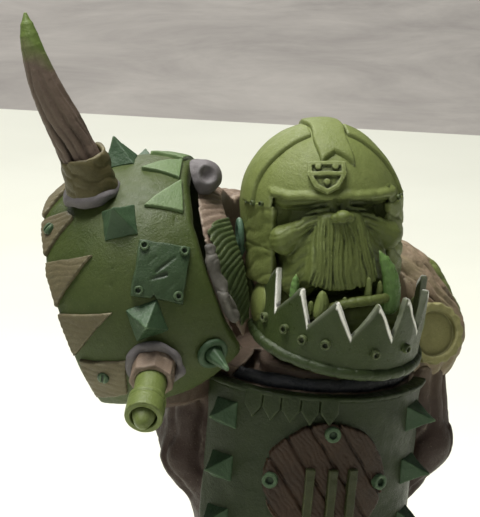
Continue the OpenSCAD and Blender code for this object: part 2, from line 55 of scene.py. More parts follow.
def noise(p, size, seed=0):
    """Smooth random field in [-1, 1] whose lumps are about size mm across."""
    q = p / np.float32(size) + np.float32(seed * 5.37)
    cell = np.floor(q)
    f = q - cell
    f = f * f * (3 - 2 * f)
    c = cell.astype(np.int64) % LATTICE_N
    n = (c + 1) % LATTICE_N
    total = 0
    for ix, wx in ((c[:, 0], 1 - f[:, 0]), (n[:, 0], f[:, 0])):
        for iy, wy in ((c[:, 1], 1 - f[:, 1]), (n[:, 1], f[:, 1])):
            wxy = wx * wy
            total = total + LATTICE[ix, iy, c[:, 2]] * wxy * (1 - f[:, 2])
            total = total + LATTICE[ix, iy, n[:, 2]] * wxy * f[:, 2]
    return total


def lumps(p, amount, seed=0):
    """Hand-smoothed unevenness of putty, in mm."""
    return amount * (noise(p, 2.7, seed) + 0.45 * noise(p, 0.9, seed + 1))


# ---------------------------------------------------------------- frames

def rot_x(deg):
    c, s = math.cos(math.radians(deg)), math.sin(math.radians(deg))
    return np.array([[1, 0, 0], [0, c, -s], [0, s, c]])


def rot_y(deg):
    c, s = math.cos(math.radians(deg)), math.sin(math.radians(deg))
    return np.array([[c, 0, s], [0, 1, 0], [-s, 0, c]])


def rot_z(deg):
    c, s = math.cos(math.radians(deg)), math.sin(math.radians(deg))
    return np.array([[c, -s, 0], [s, c, 0], [0, 0, 1]])


class Place:
    """A local frame in mm: turn's columns are its axes in the row frame."""

    def __init__(self, origin=(0, 0, 0), turn=np.eye(3)):
        self.origin = np.array(origin, float)
        self.turn = np.array(turn, float)

    def out(self, p):
        return np.asarray(p) @ self.turn.T + self.origin

    def then(self, origin=(0, 0, 0), turn=np.eye(3)):
        return Place(self.out(np.array(origin, float)), self.turn @ turn)

    def into(self, p):
        return (np.asarray(p) - self.origin) @ self.turn


WORLD = Place()


def on_sphere(place, az, lat, r):
    """Frame on a sphere about place: +Z outward, +X towards its south pole."""
    turn = rot_z(az) @ rot_y(90 - lat)
    return place.then(turn @ np.array([0, 0, r]), turn)


def on_drum(place, angle, z, r):
    """Frame on an upright drum: +Z outward, +Y up; the angle is measured from -Y."""
    turn = rot_z(angle) @ rot_x(90)
    return place.then(rot_z(angle) @ np.array([0, -r, z]), turn)


# ---------------------------------------------------------------- distance fields

def length(v):
    return np.sqrt(np.einsum("ij,ij->i", v, v))


def turn_deg(q):
    """Angle about Z in degrees, 0 to 360 from +X."""
    return np.degrees(np.arctan2(q[:, 1], q[:, 0])) % 360


def turn_rad(q):
    return np.arctan2(q[:, 1], q[:, 0])


def front_deg(q):
    """Angle about Z in degrees, -180 to 180 from -Y."""
    return np.degrees(np.arctan2(q[:, 0], -q[:, 1]))


def radius(q):
    return np.hypot(q[:, 0], q[:, 1])


def smin(a, b, k):
    h = np.clip(0.5 + 0.5 * (b - a) / k, 0, 1)
    return b + (a - b) * h - k * h * (1 - h)


def smax(a, b, k):
    return -smin(-a, -b, k)


def ball(p, c, r):
    return length(p - np.float32(c)) - r


def egg(p, c, r):
    """Ellipsoid with radii r."""
    r = np.array(r, np.float32)
    q = (p - np.float32(c)) / r
    k = length(q)
    return k * (k - 1) / np.maximum(length(q / r), 1e-6)


def limb(p, a, b, ra, rb):
    """Round bar from a to b whose radius goes from ra to rb."""
    a, b = np.array(a, np.float32), np.array(b, np.float32)
    d = b - a
    t = np.clip((p - a) @ d / (d @ d), 0, 1)
    return length(p - a - t[:, None] * d) - (ra + (rb - ra) * t)


def slab(p, half, r=0.1):
    """Box about the origin with rounded edges."""
    q = np.abs(p) - (np.array(half, np.float32) - r)
    return length(np.maximum(q, 0)) + np.minimum(q.max(axis=1), 0) - r


def drum(p, r, z0, z1, k=0.1):
    """Upright cylinder with rounded edges."""
    side = radius(p) - r
    return smax(side, np.maximum(p[:, 2] - z1, z0 - p[:, 2]), k)


def hoop(p, ring_r, r):
    """Round ring about Z, r thick each way."""
    return np.hypot(radius(p) - ring_r, p[:, 2]) - r


def outline(p, points):
    """Signed distance in XY from a closed polygon."""
    pts = np.array(points, np.float32)
    best = np.full(len(p), 1e9, np.float32)
    inside = np.zeros(len(p), bool)
    for a, b in zip(pts, np.roll(pts, -1, axis=0)):
        e = b - a
        wx, wy = p[:, 0] - a[0], p[:, 1] - a[1]
        t = np.clip((wx * e[0] + wy * e[1]) / (e @ e), 0, 1)
        best = np.minimum(best, (wx - e[0] * t) ** 2 + (wy - e[1] * t) ** 2)
        crosses = ((a[1] > p[:, 1]) != (b[1] > p[:, 1]))
        slope = (p[:, 1] - a[1]) / (e[1] if abs(e[1]) > 1e-9 else 1e-9)
        inside ^= crosses & (p[:, 0] < a[0] + slope * e[0])
    return np.where(inside, -1, 1) * np.sqrt(best)


def skin(p, r_in, r_out):
    """Layer between two spheres about the origin."""
    mid, half = (r_in + r_out) / 2, (r_out - r_in) / 2
    return np.abs(length(p) - mid) - half


# ---------------------------------------------------------------- meshing

# voxels along a block of the coarse first pass
BLOCK = 6


def mesh_field(field, lo, hi, voxel):
    """Vertices and faces of the zero surface of field in the box lo to hi."""
    voxel = voxel * FINE
    lo, hi = np.array(lo, float) - 3 * voxel, np.array(hi, float) + 3 * voxel
    blocks = np.ceil((hi - lo) / (voxel * BLOCK)).astype(int)
    step = voxel * BLOCK
    centre = np.stack(np.meshgrid(*[np.arange(n) for n in blocks], indexing="ij"), -1)
    centre = centre.reshape(-1, 3)
    coarse = field((lo + (centre + 0.5) * step - voxel / 2).astype(np.float32))
    near = np.abs(coarse) < step * 1.05 + 0.25
    band = 3 * voxel
    grid = np.repeat(np.repeat(np.repeat(
        np.clip(coarse, -band, band).reshape(blocks), BLOCK, 0), BLOCK, 1), BLOCK, 2)
    grid = np.ascontiguousarray(grid, np.float32)
    corner = np.stack(np.meshgrid(*[np.arange(BLOCK)] * 3, indexing="ij"), -1).reshape(-1, 3)
    active = centre[near]
    for chunk in np.array_split(active, max(1, len(active) * BLOCK ** 3 // 600000)):
        index = (chunk[:, None] * BLOCK + corner[None]).reshape(-1, 3)
        value = field((lo + index * voxel).astype(np.float32))
        grid[index[:, 0], index[:, 1], index[:, 2]] = np.clip(value, -band, band)
    vdb = openvdb.FloatGrid()
    vdb.background = band
    vdb.copyFromArray(grid)
    points, quads = vdb.convertToQuads(0.0)
    return points * voxel + lo, quads


class Field:
    """A distance field, its box and the frame that both are in."""

    def __init__(self, f, lo, hi, place=WORLD, voxel=0.16, tone=None):
        self.f, self.lo, self.hi = f, lo, hi
        self.place, self.voxel, self.tone = place, voxel, tone


def face_normals_at_points(points, quads):
    a = points[quads]
    n = np.cross(a[:, 2] - a[:, 0], a[:, 3] - a[:, 1])
    total = np.zeros_like(points)
    for k in range(4):
        np.add.at(total, quads[:, k], n)
    return total / np.maximum(length(total), 1e-12)[:, None]


# how far out and in of a surface the hollows and edges are looked for, in mm; hollows get painted
# shade and edges a painted highlight
PIT_REACH = 0.45


def clay(name, fields, body, material, replaces=None):
    """One visible piece from its fields, riding on a body. It stands in for the nodes in
    replaces, or for the node of its own name."""
    verts, faces, pits, edges, tones = [], [], [], [], []
    base = 0
    for part in fields:
        points, quads = mesh_field(part.f, part.lo, part.hi, part.voxel)
        if not len(points):
            raise ValueError(f"{name}: a field has no surface in its box")
        normal = face_normals_at_points(points, quads)
        p = points.astype(np.float32)
        n = normal.astype(np.float32)
        reach = np.float32(PIT_REACH)
        # painted shade: how deep each point lies in a hollow
        pits.append(np.clip(1 - part.f(p + n * reach) / reach, 0, 1))
        # painted highlight: how sharp an outer edge each point is on
        edges.append(np.clip(1 + part.f(p - n * reach * 0.6) / (reach * 0.6), 0, 1))
        tones.append(part.tone(p) if part.tone else np.zeros(len(p)))
        verts.append(part.place.out(points))
        faces.append(quads.astype(np.int64) + base)
        base += len(points)
    verts, faces = np.concatenate(verts) * MM, np.concatenate(faces)
    mesh = bpy.data.meshes.new(name)
    mesh.vertices.add(len(verts))
    mesh.vertices.foreach_set("co", verts.astype(np.float32).ravel())
    mesh.loops.add(faces.size)
    mesh.loops.foreach_set("vertex_index", faces.astype(np.int32).ravel())
    mesh.polygons.add(len(faces))
    mesh.polygons.foreach_set("loop_start", np.arange(0, faces.size, 4, dtype=np.int32))
    mesh.polygons.foreach_set("use_smooth", np.ones(len(faces), bool))
    mesh.update(calc_edges=True)
    mesh.validate()
    for key, values in (("hollow_shade", pits), ("edge", edges), ("tone", tones)):
        layer = mesh.attributes.new(key, "FLOAT", "POINT")
        layer.data.foreach_set("value", np.concatenate(values).astype(np.float32))
    mesh.materials.append(material)
    piece = bpy.data.objects.new(name, mesh)
    bpy.context.scene.collection.objects.link(piece)
    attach(piece, body)
    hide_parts(*(replaces or [name]))


# ---------------------------------------------------------------- materials

def srgb(r, g, b):
    """Linear colour from 0-255 sRGB."""
    def one(c):
        c /= 255
        return c / 12.92 if c <= 0.04045 else ((c + 0.055) / 1.055) ** 2.4
    return (one(r), one(g), one(b), 1)


class Nodes:
    """Short way to build one material's node tree."""

    # the mix node's colour sockets, which share their names with its float sockets
    COLOUR_A, COLOUR_B, COLOUR_OUT = 6, 7, 2

    def __init__(self, name):
        self.material = bpy.data.materials.new(name)
        self.material.use_nodes = True
        self.tree = self.material.node_tree
        self.shader = self.tree.nodes["Principled BSDF"]
        coord = self.tree.nodes.new("ShaderNodeTexCoord")
        scale = self.tree.nodes.new("ShaderNodeMapping")
        scale.inputs["Scale"].default_value = (1000, 1000, 1000)
        self.link(coord.outputs["Object"], scale.inputs["Vector"])
        self.mm = scale.outputs["Vector"]

    def link(self, a, b):
        self.tree.links.new(a, b)

    def add(self, kind, **values):
        node = self.tree.nodes.new(kind)
        for key, value in values.items():
            setattr(node, key, value)
        return node

    def attribute(self, name):
        return self.add("ShaderNodeAttribute", attribute_name=name).outputs["Fac"]

    def noise(self, scale, detail=4, roughness=0.6, stretch=None, distortion=0.0):
        node = self.add("ShaderNodeTexNoise")
        node.inputs["Scale"].default_value = scale
        node.inputs["Detail"].default_value = detail
        node.inputs["Roughness"].default_value = roughness
        node.inputs["Distortion"].default_value = distortion
        source = self.mm
        if stretch:
            bend = self.add("ShaderNodeMapping")
            bend.inputs["Scale"].default_value = stretch
            self.link(source, bend.inputs["Vector"])
            source = bend.outputs["Vector"]
        self.link(source, node.inputs["Vector"])
        return node.outputs["Fac"]

    def spread(self, value, low, high, out_low=0.0, out_high=1.0):
        node = self.add("ShaderNodeMapRange")
        node.inputs["From Min"].default_value = low
        node.inputs["From Max"].default_value = high
        node.inputs["To Min"].default_value = out_low
        node.inputs["To Max"].default_value = out_high
        self.link(value, node.inputs["Value"])
        return node.outputs["Result"]

    def math(self, operation, a, b):
        node = self.add("ShaderNodeMath", operation=operation)
        for socket, value in zip(node.inputs, (a, b)):
            if isinstance(value, (int, float)):
                socket.default_value = value
            else:
                self.link(value, socket)
        return node.outputs["Value"]

    def mix(self, factor, a, b):
        node = self.add("ShaderNodeMix", data_type="RGBA")
        if isinstance(factor, (int, float)):
            node.inputs["Factor"].default_value = factor
        else:
            self.link(factor, node.inputs["Factor"])
        for socket, value in ((node.inputs[self.COLOUR_A], a), (node.inputs[self.COLOUR_B], b)):
            if isinstance(value, tuple):
                socket.default_value = value
            else:
                self.link(value, socket)
        return node.outputs[self.COLOUR_OUT]

    def bump(self, height, distance, strength=1.0):
        node = self.add("ShaderNodeBump")
        node.inputs["Distance"].default_value = distance
        node.inputs["Strength"].default_value = strength
        self.link(height, node.inputs["Height"])
        self.link(node.outputs["Normal"], self.shader.inputs["Normal"])


def putty(name, base, streak, dark, light, rough=0.5, streaks=0.35, tint=None):
    """Cured two-part putty: hand-mixed colour, painted shade in the hollows, painted highlight on the
    sharp edges.
    Colours are 0-255 sRGB; tint shows where a piece's tone attribute is high."""
    n = Nodes(name)
    base, streak, dark, light = srgb(*base), srgb(*streak), srgb(*dark), srgb(*light)
    broad = n.spread(n.noise(0.22, 5, 0.62, distortion=0.6), 0.36, 0.66)
    colour = n.mix(n.math("MULTIPLY", broad, streaks), base, streak)
    fine = n.spread(n.noise(1.9, 6, 0.7), 0.3, 0.75)
    colour = n.mix(n.math("MULTIPLY", fine, 0.22), colour, dark)
    if tint:
        colour = n.mix(n.attribute("tone"), colour, srgb(*tint))
    specks = n.spread(n.noise(5.5, 2, 0.5), 0.66, 0.74)
    colour = n.mix(n.math("MULTIPLY", specks, 0.25), colour, light)
    # painted shade: hollows are darkened towards the dark colour
    hollow_shade = n.spread(n.attribute("hollow_shade"), 0.06, 0.7)
    colour = n.mix(n.math("MULTIPLY", hollow_shade, 0.72), colour, dark)
    # painted highlight: sharp outer edges are lightened, patchily, towards the light colour
    edge = n.spread(n.attribute("edge"), 0.12, 0.5)
    edge_highlight = n.math("MULTIPLY", edge, n.spread(n.noise(1.1, 4, 0.7), 0.35, 0.7))
    colour = n.mix(n.math("MULTIPLY", edge_highlight, 0.55), colour, light)
    n.link(colour, n.shader.inputs["Base Color"])
    n.link(n.spread(n.noise(0.8, 5, 0.7), 0.3, 0.7, rough - 0.12, rough + 0.14),
           n.shader.inputs["Roughness"])
    height = n.math("ADD", n.math("MULTIPLY", n.noise(3.4, 6, 0.65), 0.7),
                    n.math("MULTIPLY", n.noise(0.9, 3, 0.5), 0.5))
    n.bump(height, 0.00016, 0.8)
    # matt, so that the bright paper does not wash the colours out
    n.shader.inputs["Specular IOR Level"].default_value = 0.25
    return n.material


OLIVE = putty("olive_putty", (108, 118, 64), (122, 130, 78), (36, 42, 20), (166, 174, 130))
SKIN = putty("skin_putty", (92, 102, 52), (106, 114, 66), (18, 24, 12), (140, 152, 102), rough=0.42)
GREEN = putty("green_putty", (72, 98, 78), (86, 112, 90), (20, 34, 24), (128, 154, 124), rough=0.42)
# the tint is painted shade, laid on the torso's lower part by its shade tone
BROWN = putty("brown_putty", (122, 106, 92), (138, 118, 102), (44, 32, 26), (176, 162, 144),
              tint=(46, 30, 27))
DARK = putty("rim_putty", (50, 62, 34), (66, 76, 44), (12, 16, 8), (112, 124, 80), rough=0.38)
TUSK = putty("tusk_putty", (92, 122, 66), (110, 136, 78), (36, 58, 26), (156, 176, 114), rough=0.3)
TOOTH = putty("tooth_putty", (112, 124, 70), (126, 134, 82), (48, 56, 28), (156, 164, 112),
              rough=0.4)
GUARD = putty("guard_plastic", (54, 66, 34), (68, 78, 44), (12, 16, 8), (116, 124, 88), rough=0.36,
              tint=(250, 248, 240))
SPIKE = putty("spike_putty", (58, 80, 56), (74, 96, 68), (12, 20, 12), (124, 148, 112), rough=0.4)
TAN = putty("tan_putty", (142, 124, 104), (128, 122, 88), (52, 38, 30), (190, 178, 156), rough=0.5,
            streaks=0.6)
SEATCLAY = putty("seat_putty", (142, 138, 92), (150, 146, 100), (60, 58, 34), (184, 180, 140))
INK = putty("ink_putty", (44, 46, 50), (58, 56, 58), (10, 14, 12), (104, 104, 108), rough=0.3)
ARMOUR = putty("armour_putty", (40, 50, 26), (54, 64, 34), (6, 10, 4), (92, 104, 68), rough=0.4)
PLANK = putty("plank_putty", (50, 36, 26), (66, 48, 34), (10, 6, 4), (104, 84, 64), rough=0.45,
              streaks=0.7)
BARS = putty("bar_putty", (52, 56, 32), (68, 72, 42), (14, 18, 8), (106, 110, 72), rough=0.4)
PUTTY = putty("tack", (112, 108, 108), (92, 86, 90), (44, 40, 40), (160, 158, 156), rough=0.6)
SMEAR = putty("smeared_tack", (84, 82, 74), (104, 98, 96), (34, 30, 26), (140, 138, 130),
              rough=0.55)
SHELLCLAY = putty("shell_putty", (62, 74, 34), (80, 88, 48), (16, 22, 8), (120, 130, 88),
                  rough=0.42)
DAGGER = putty("dagger_putty", (98, 90, 68), (112, 106, 76), (34, 30, 18), (152, 146, 122),
               rough=0.45)
LEAF = putty("leaf_putty", (92, 112, 72), (108, 126, 86), (30, 42, 22), (150, 170, 126), rough=0.42)
PATCH = putty("patch_putty", (52, 70, 46), (66, 82, 56), (10, 18, 10), (110, 130, 96), rough=0.38)
TUBE = putty("tube_putty", (98, 110, 58), (114, 124, 72), (34, 42, 20), (158, 168, 116), rough=0.36)
HORNCLAY = putty("horn_clay", (100, 86, 76), (118, 102, 88), (26, 20, 16), (160, 146, 130),
                 rough=0.5, tint=(88, 104, 50))
COLLAR = putty("collar_putty", (84, 78, 50), (98, 90, 60), (24, 20, 10), (142, 132, 98), rough=0.45)


def turned_wood():
    n = Nodes("turned_wood")
    rings = n.noise(0.12, 5, 0.6, (1, 1, 7), 1.2)
    grain = n.spread(rings, 0.35, 0.65)
    colour = n.mix(grain, srgb(92, 58, 34), srgb(132, 88, 52))
    fibre = n.spread(n.noise(0.9, 6, 0.7, (6, 6, 0.5)), 0.4, 0.7)
    colour = n.mix(n.math("MULTIPLY", fibre, 0.5), colour, srgb(60, 36, 20))
    # painted shade: hollows of the turned wood are darkened
    hollow_shade = n.spread(n.attribute("hollow_shade"), 0.06, 0.7)
    colour = n.mix(n.math("MULTIPLY", hollow_shade, 0.6), colour, srgb(36, 22, 12))
    n.link(colour, n.shader.inputs["Base Color"])
    n.link(n.spread(fibre, 0, 1, 0.32, 0.5), n.shader.inputs["Roughness"])
    n.shader.inputs["Coat Weight"].default_value = 0.25
    n.bump(fibre, 0.0001, 0.6)
    return n.material


def steel_wire():
    n = Nodes("steel_wire")
    wear = n.spread(n.noise(1.5, 5, 0.7), 0.35, 0.7)
    n.link(n.mix(wear, srgb(150, 150, 148), srgb(110, 106, 100)), n.shader.inputs["Base Color"])
    n.link(n.spread(wear, 0, 1, 0.25, 0.45), n.shader.inputs["Roughness"])
    n.shader.inputs["Metallic"].default_value = 1
    n.bump(n.noise(4, 4, 0.6, (1, 1, 6)), 0.00005, 0.5)
    return n.material


WOOD = turned_wood()
STEEL = steel_wire()

# ---------------------------------------------------------------- head

HEAD_X = 0.5
HELM = Place((HEAD_X, -5, 65.2))
HELM_R = 10.3
HELM_T = 0.9


def groove(value, pitch, sharp=2.2):
    """0 on the ridges and 1 in the narrow cuts of a row of grooves."""
    return (0.5 + 0.5 * np.cos(2 * np.pi * value / pitch)) ** sharp


def face_field(p):
    x, y, z = p[:, 0] - HEAD_X, p[:, 1], p[:, 2]
    side = np.abs(x)
    q = np.stack([side, y, z], 1)
    d = egg(q, (0, -7.6, 61.6), (7.1, 6.0, 9.6))
    # long upper lip: narrow under the nose, wide and full over the mouth
    t = np.clip((66.2 - z) / 9.0, 0, 1)
    half = 2.5 + 2.4 * t ** 0.7
    front = -15.5 - 1.9 * np.sin(t * 1.7) + 0.055 * x ** 2
    lip = smax(side - half, (front - y) * 0.95, 1.0)
    under = 57.0 + 0.045 * side ** 2 + 0.12 * noise(p, 1.1, 5)
    lip = smax(lip, np.maximum(under - z, z - 66.4), 0.55)
    lip = smax(lip, y + 9, 0.2)
    fold = x * (1 + 0.35 * (1 - t)) + 0.36 * noise(p, 1.7, 3) + 0.02 * (z - 60) * x
    deep = np.clip((66.2 - z) / 1.2, 0, 1) * np.clip((half + 0.3 - side) / 1.2, 0.25, 1)
    lip += 0.15 * deep * groove(fold, 0.52, 1.4) * (0.7 + 0.5 * noise(p, 1.6, 4))
    lip += 0.14 * deep * groove(fold + 0.35 * noise(p, 0.9, 9), 1.37, 5)
    d = smin(d, lip, 0.5)
    # full cheeks beside the lip
    cheek = limb(q, (3.4, -12.4, 62.2), (4.6, -12.3, 57.6), 2.3, 2.5)
    cheek += 0.1 * groove(z + 0.8 * side + 0.5 * noise(p, 1.8, 5), 1.3, 3)
    d = smin(d, cheek, 1.0)
    # bags under the eyes, smooth and swelling towards the ears
    bag = limb(q, (2.6, -14.0, 65.4), (4.7, -13.2, 64.1), 0.5, 1.15)
    bag = smin(bag, limb(q, (4.7, -13.2, 64.1), (6.3, -12.2, 62.7), 1.15, 2.0), 0.5)
    along = (z - 64.2) + 0.5 * (side - 3) + 0.25 * noise(p, 1.4, 6)
    fine = np.clip((6.0 - side) / 1.5, 0.3, 1)
    bag += 0.16 * fine * groove(along, 0.8, 2.4) + 0.06 * noise(p, 0.8, 12)
    d = smin(d, bag, 0.25)
    for i in range(3):
        crease = limb(q, (1.3, -15.0 + 0.5 * i, 65.9 + 0.4 * i),
                      (3.4 + 0.9 * i, -14.2 + 0.7 * i, 65.2 + 0.35 * i), 0.2, 0.3)
        d = smin(d, crease, 0.25)
    # brow set back under the helmet, one smooth frown with a few folds
    brow = limb(q, (0, -12.9, 68.0), (6.0, -10.7, 67.7), 1.3, 1.5)
    brow += 0.1 * groove(z + 0.12 * side + 0.25 * noise(p, 2, 7), 0.9, 2.5)
    d = smin(d, brow, 0.9)
    d = smin(d, limb(q, (0.5, -13.9, 66.6), (1.1, -13.4, 68.0), 0.4, 0.45), 0.4)
    d = smin(d, egg(q, (0, -15.9, 66.2), (1.0, 1.0, 0.7)), 0.3)
    d = smin(d, ball(q, (1.0, -15.7, 65.95), 0.5), 0.2)
    d = smax(d, -ball(q, (0.42, -16.8, 65.75), 0.32), 0.12)
    d = smax(d, -limb(q, (1.9, -14.7, 66.9), (5.6, -12.6, 66.1), 0.4, 0.55), 0.3)
    d = smax(d, -egg(q, (0, -16.2, 55.9), (3.6, 3.0, 1.25)), 0.25)
    return d + lumps(p, 0.05, 2)


def make_face():
    front = Field(lambda p: smax(face_field(p), p[:, 1] + 8.5, 0.05),
                  (-9, -19.5, 50), (10, -8, 70), voxel=0.125)
    def skull(p):
        d = helmet_r(HELM.into(p)) - (HELM_R - HELM_T - 0.15)
        neck = drum(p - np.float32((HEAD_X, -3.5, 0)), 6.3, 45.2, 62, 0.6)
        turn = np.arctan2(p[:, 0] - HEAD_X, p[:, 1] + 3.5) * 6.3
        neck += 0.28 * groove(turn + 0.5 * noise(p, 2, 3), 2.3, 2)
        return smax(smin(d, neck, 1.5), -(p[:, 1] + 10.8), 0.1)
    back = Field(skull, (-10, -11, 45), (11, 5.5, 75), voxel=0.28)
    clay("face", [front, back], "head", SKIN, ["face", "head_core"])


def jaw_field(p):
    x = p[:, 0] - HEAD_X - 1.4
    q = np.stack([np.abs(x), p[:, 1], p[:, 2]], 1)
    d = smin(limb(q, (0, -13.2, 52.4), (3.6, -12.4, 53.0), 4.2, 3.4),
             limb(q, (0, -12, 50.2), (3.4, -9.5, 50.6), 3.6, 3.2), 1.5)
    d = smax(d, p[:, 2] - 55.3 - 0.03 * x, 0.4)
    bend = np.clip(1 - (q[:, 0] / 6.6) ** 2, 0, 1)
    lip_y = -12.6 - 4.9 * np.sqrt(bend)
    lip_z = 55.75 - 0.05 * np.clip(0.8 - x, 0, None) ** 2
    lip = np.hypot(p[:, 1] - lip_y, (p[:, 2] - lip_z) * 1.1) - 0.7
    lip = smax(lip, q[:, 0] - 6.1, 0.4)
    lip += 0.07 * groove(x + 0.3 * noise(p, 1, 5), 1.1, 3)
    d = smin(d, lip, 0.35)
    gum = np.hypot(p[:, 1] - lip_y - 1.5, p[:, 2] - lip_z + 0.3) - 0.55
    d = smin(d, np.maximum(gum, q[:, 0] - 5.6), 0.3)
    chin = groove(p[:, 2] + 0.35 * np.abs(x) + 0.4 * noise(p, 1.5, 8), 1.25, 2.5)
    d += 0.13 * chin * np.clip((54.6 - p[:, 2]) / 1, 0, 1)
    return d + lumps(p, 0.04, 4)


def make_jaw():
    clay("lower_jaw", [Field(jaw_field, (-6, -19, 45.5), (10, -6, 57), voxel=0.13)],
         "head", SKIN)


def fang(root, tip, lean, r, seed):
    """Flattened curved tooth from root to tip, its middle pushed sideways by lean."""
    root, tip = np.array(root, float), np.array(tip, float)
    steps = 7
    t = np.linspace(0, 1, steps)
    line = root + (tip - root) * t[:, None] + np.outer(np.sin(np.pi * t), lean)
    radii = r * np.sqrt(np.clip(1 - t ** 1.7, 0.01, 1))

    def field(p):
        q = p.copy()
        d = np.full(len(p), 1e9, np.float32)
        for i in range(steps - 1):
            d = smin(d, limb(q, line[i], line[i + 1], radii[i], radii[i + 1]), 0.15)
        d += 0.045 * groove(p[:, 0] + 0.3 * noise(p, 1, seed), 0.5, 3)
        return d
    lo = np.minimum(line.min(0), tip) - r - 0.3
    hi = np.maximum(line.max(0), tip) + r + 0.3
    return Field(field, lo, hi, voxel=0.09)


def make_tusks():
    big = fang((6.5, -15.6, 54.6), (5.1, -16.1, 61.6), (0.75, -0.2, 0), 1.25, 3)
    small = fang((-5.2, -15.1, 55), (-5.25, -15.7, 59.2), (-0.2, -0.2, 0), 0.72, 5)
    clay("tusks", [big, small], "head", TUSK)


def make_teeth():
    rows = [(-2.4, 54.2, 57.2, 1.0), (-3.7, 54.4, 55.9, 0.4), (3.4, 55.4, 58.8, 0.52),
            (5.0, 55.4, 58.0, 0.46), (0.3, 55.2, 56.4, 0.4)]
    fields = []
    for i, (x, z0, z1, r) in enumerate(rows):
        y = -12.9 - 4.1 * math.sqrt(max(0, 1 - ((x - HEAD_X) / 6.6) ** 2))
        fields.append(fang((x, y, z0), (x + 0.12, y - 0.35, z1), (0.1, 0, 0), r, i))
    clay("teeth", fields, "head", TOOTH)


def helmet_side(q):
    """Half width of the face opening, less on the figure's left."""
    return np.where(q[:, 0] < 0, 7.9, 6.9) - 0.12 * (q[:, 2] - 1)


def helmet_r(q):
    """Distance from the helmet's middle, stretched to its slimmer left and longer back."""
    wide = np.where(q[:, 0] > 0, 1.03 + 0.14 * np.clip(q[:, 2] / 8, 0, 1), 1.0)
    wide = np.where(q[:, 0] > 0, 1 + (wide - 1) * np.clip(q[:, 0] / 3, 0, 1), wide)
    deep = np.where(q[:, 1] > 0, 0.93, 1.0)
    return length(q * np.stack([wide, deep, np.ones_like(wide)], 1))


def rim_height(q):
    return 3.3 - 0.03 * np.abs(q[:, 0]) - 0.07 * np.clip(q[:, 0], 0, None)


def helmet_field(q):
    """Dome over the head in the helmet's frame."""
    shell = np.abs(helmet_r(q) - (HELM_R - HELM_T / 2)) - HELM_T / 2
    edge = 0.12 * noise(q, 1.3, 8)
    bottom = -8.0 + edge - q[:, 2]
    side_floor = 1.1 + edge - q[:, 2]
    shell = smax(shell, np.where(q[:, 1] < -2, side_floor, bottom), 0.25)
    window = np.maximum.reduce([np.abs(q[:, 0]) - helmet_side(q), q[:, 1] + 4,
                                q[:, 2] - rim_height(q) + 1.6 * edge])
    shell = smax(shell, -window, 0.25)
    return shell


def make_helmet():
    def dome(q):
        d = helmet_field(q)
        lip = np.hypot(helmet_r(q) - HELM_R + 0.1, q[:, 2] - rim_height(q) - 0.1) - 0.5
        lip += 0.14 * noise(q, 0.9, 21)
        lip = np.maximum(lip, np.maximum(q[:, 1] + 5.4, np.abs(q[:, 0]) - 8.0))
        return smin(d, lip, 0.3) + lumps(q, 0.05, 5)
    clay("helmet_shell", [Field(dome, (-11, -11, -9), (11, 11.8, 11), HELM, 0.17)],
         "head", OLIVE)

    def crest(q):
        d = np.abs(helmet_r(q) - HELM_R - 0.1) - 0.42
        d = smax(d, np.abs(q[:, 0] + 0.15 * np.sin(q[:, 1])) - 2.1, 0.3)
        front = np.maximum(-q[:, 1] - 6.7 - 0.5 * np.abs(q[:, 0]), 0 - q[:, 2])
        d = smax(d, front, 0.25)
        return smax(d, q[:, 1] - 5.2, 0.3) + lumps(q, 0.05, 6)
    clay("crest_band", [Field(crest, (-3, -9, 3), (3, 6, 11.5), HELM, 0.15)],
         "head", OLIVE)

    def ears(q):
        d = np.abs(helmet_r(q) - HELM_R - 0.05) - 0.42
        d = smax(d, np.abs(q[:, 1] + 2.3 + 0.12 * np.sin(q[:, 2])) - 1.35, 0.3)
        d = smax(d, 1.35 - q[:, 2], 0.2)
        return smax(d, 2.25 - np.abs(q[:, 0]), 0.2) + lumps(q, 0.04, 7)
    clay("ear_band", [Field(ears, (-11.4, -4, 1), (11.4, 0, 11.4), HELM, 0.15)],
         "head", OLIVE)


def make_badge():
    """Plain shield with a rim, a bar and three studs."""
    spot = HELM.then((0, 0, 0), rot_z(-10) @ rot_x(56))
    shape = [(-2.3, 1.5), (2.3, 1.5), (2.3, -0.4), (1.5, -1.9), (0, -2.7), (-1.5, -1.9), (-2.3, -0.4)]

    def field(q):
        r = length(q)
        flat = q[:, :2] * (HELM_R / np.maximum(q[:, 2], 1))[:, None]
        edge = outline(flat, shape)
        d = smax(edge, np.abs(r - HELM_R) - 0.5, 0.15)
        rim = smax(np.abs(edge + 0.35) - 0.28, np.abs(r - HELM_R) - 0.85, 0.15)
        d = smin(d, rim, 0.1)
        bar = smax(np.abs(flat[:, 1] + 0.15) - 0.28, np.abs(r - HELM_R) - 0.85, 0.15)
        d = smin(d, np.maximum(bar, edge), 0.1)
        for x, y in ((-1, 0.7), (1, 0.7), (0, -1.15)):
            stud = np.hypot(flat[:, 0] - x, flat[:, 1] - y) - 0.4
            d = smin(d, smax(stud, np.abs(r - HELM_R) - 0.85, 0.25), 0.06)
        return d + lumps(q, 0.03, 9)
    clay("brow_badge", [Field(field, (-3.2, -3.4, 9), (3.2, 2.4, 11.6), spot, 0.09)],
         "head", OLIVE)


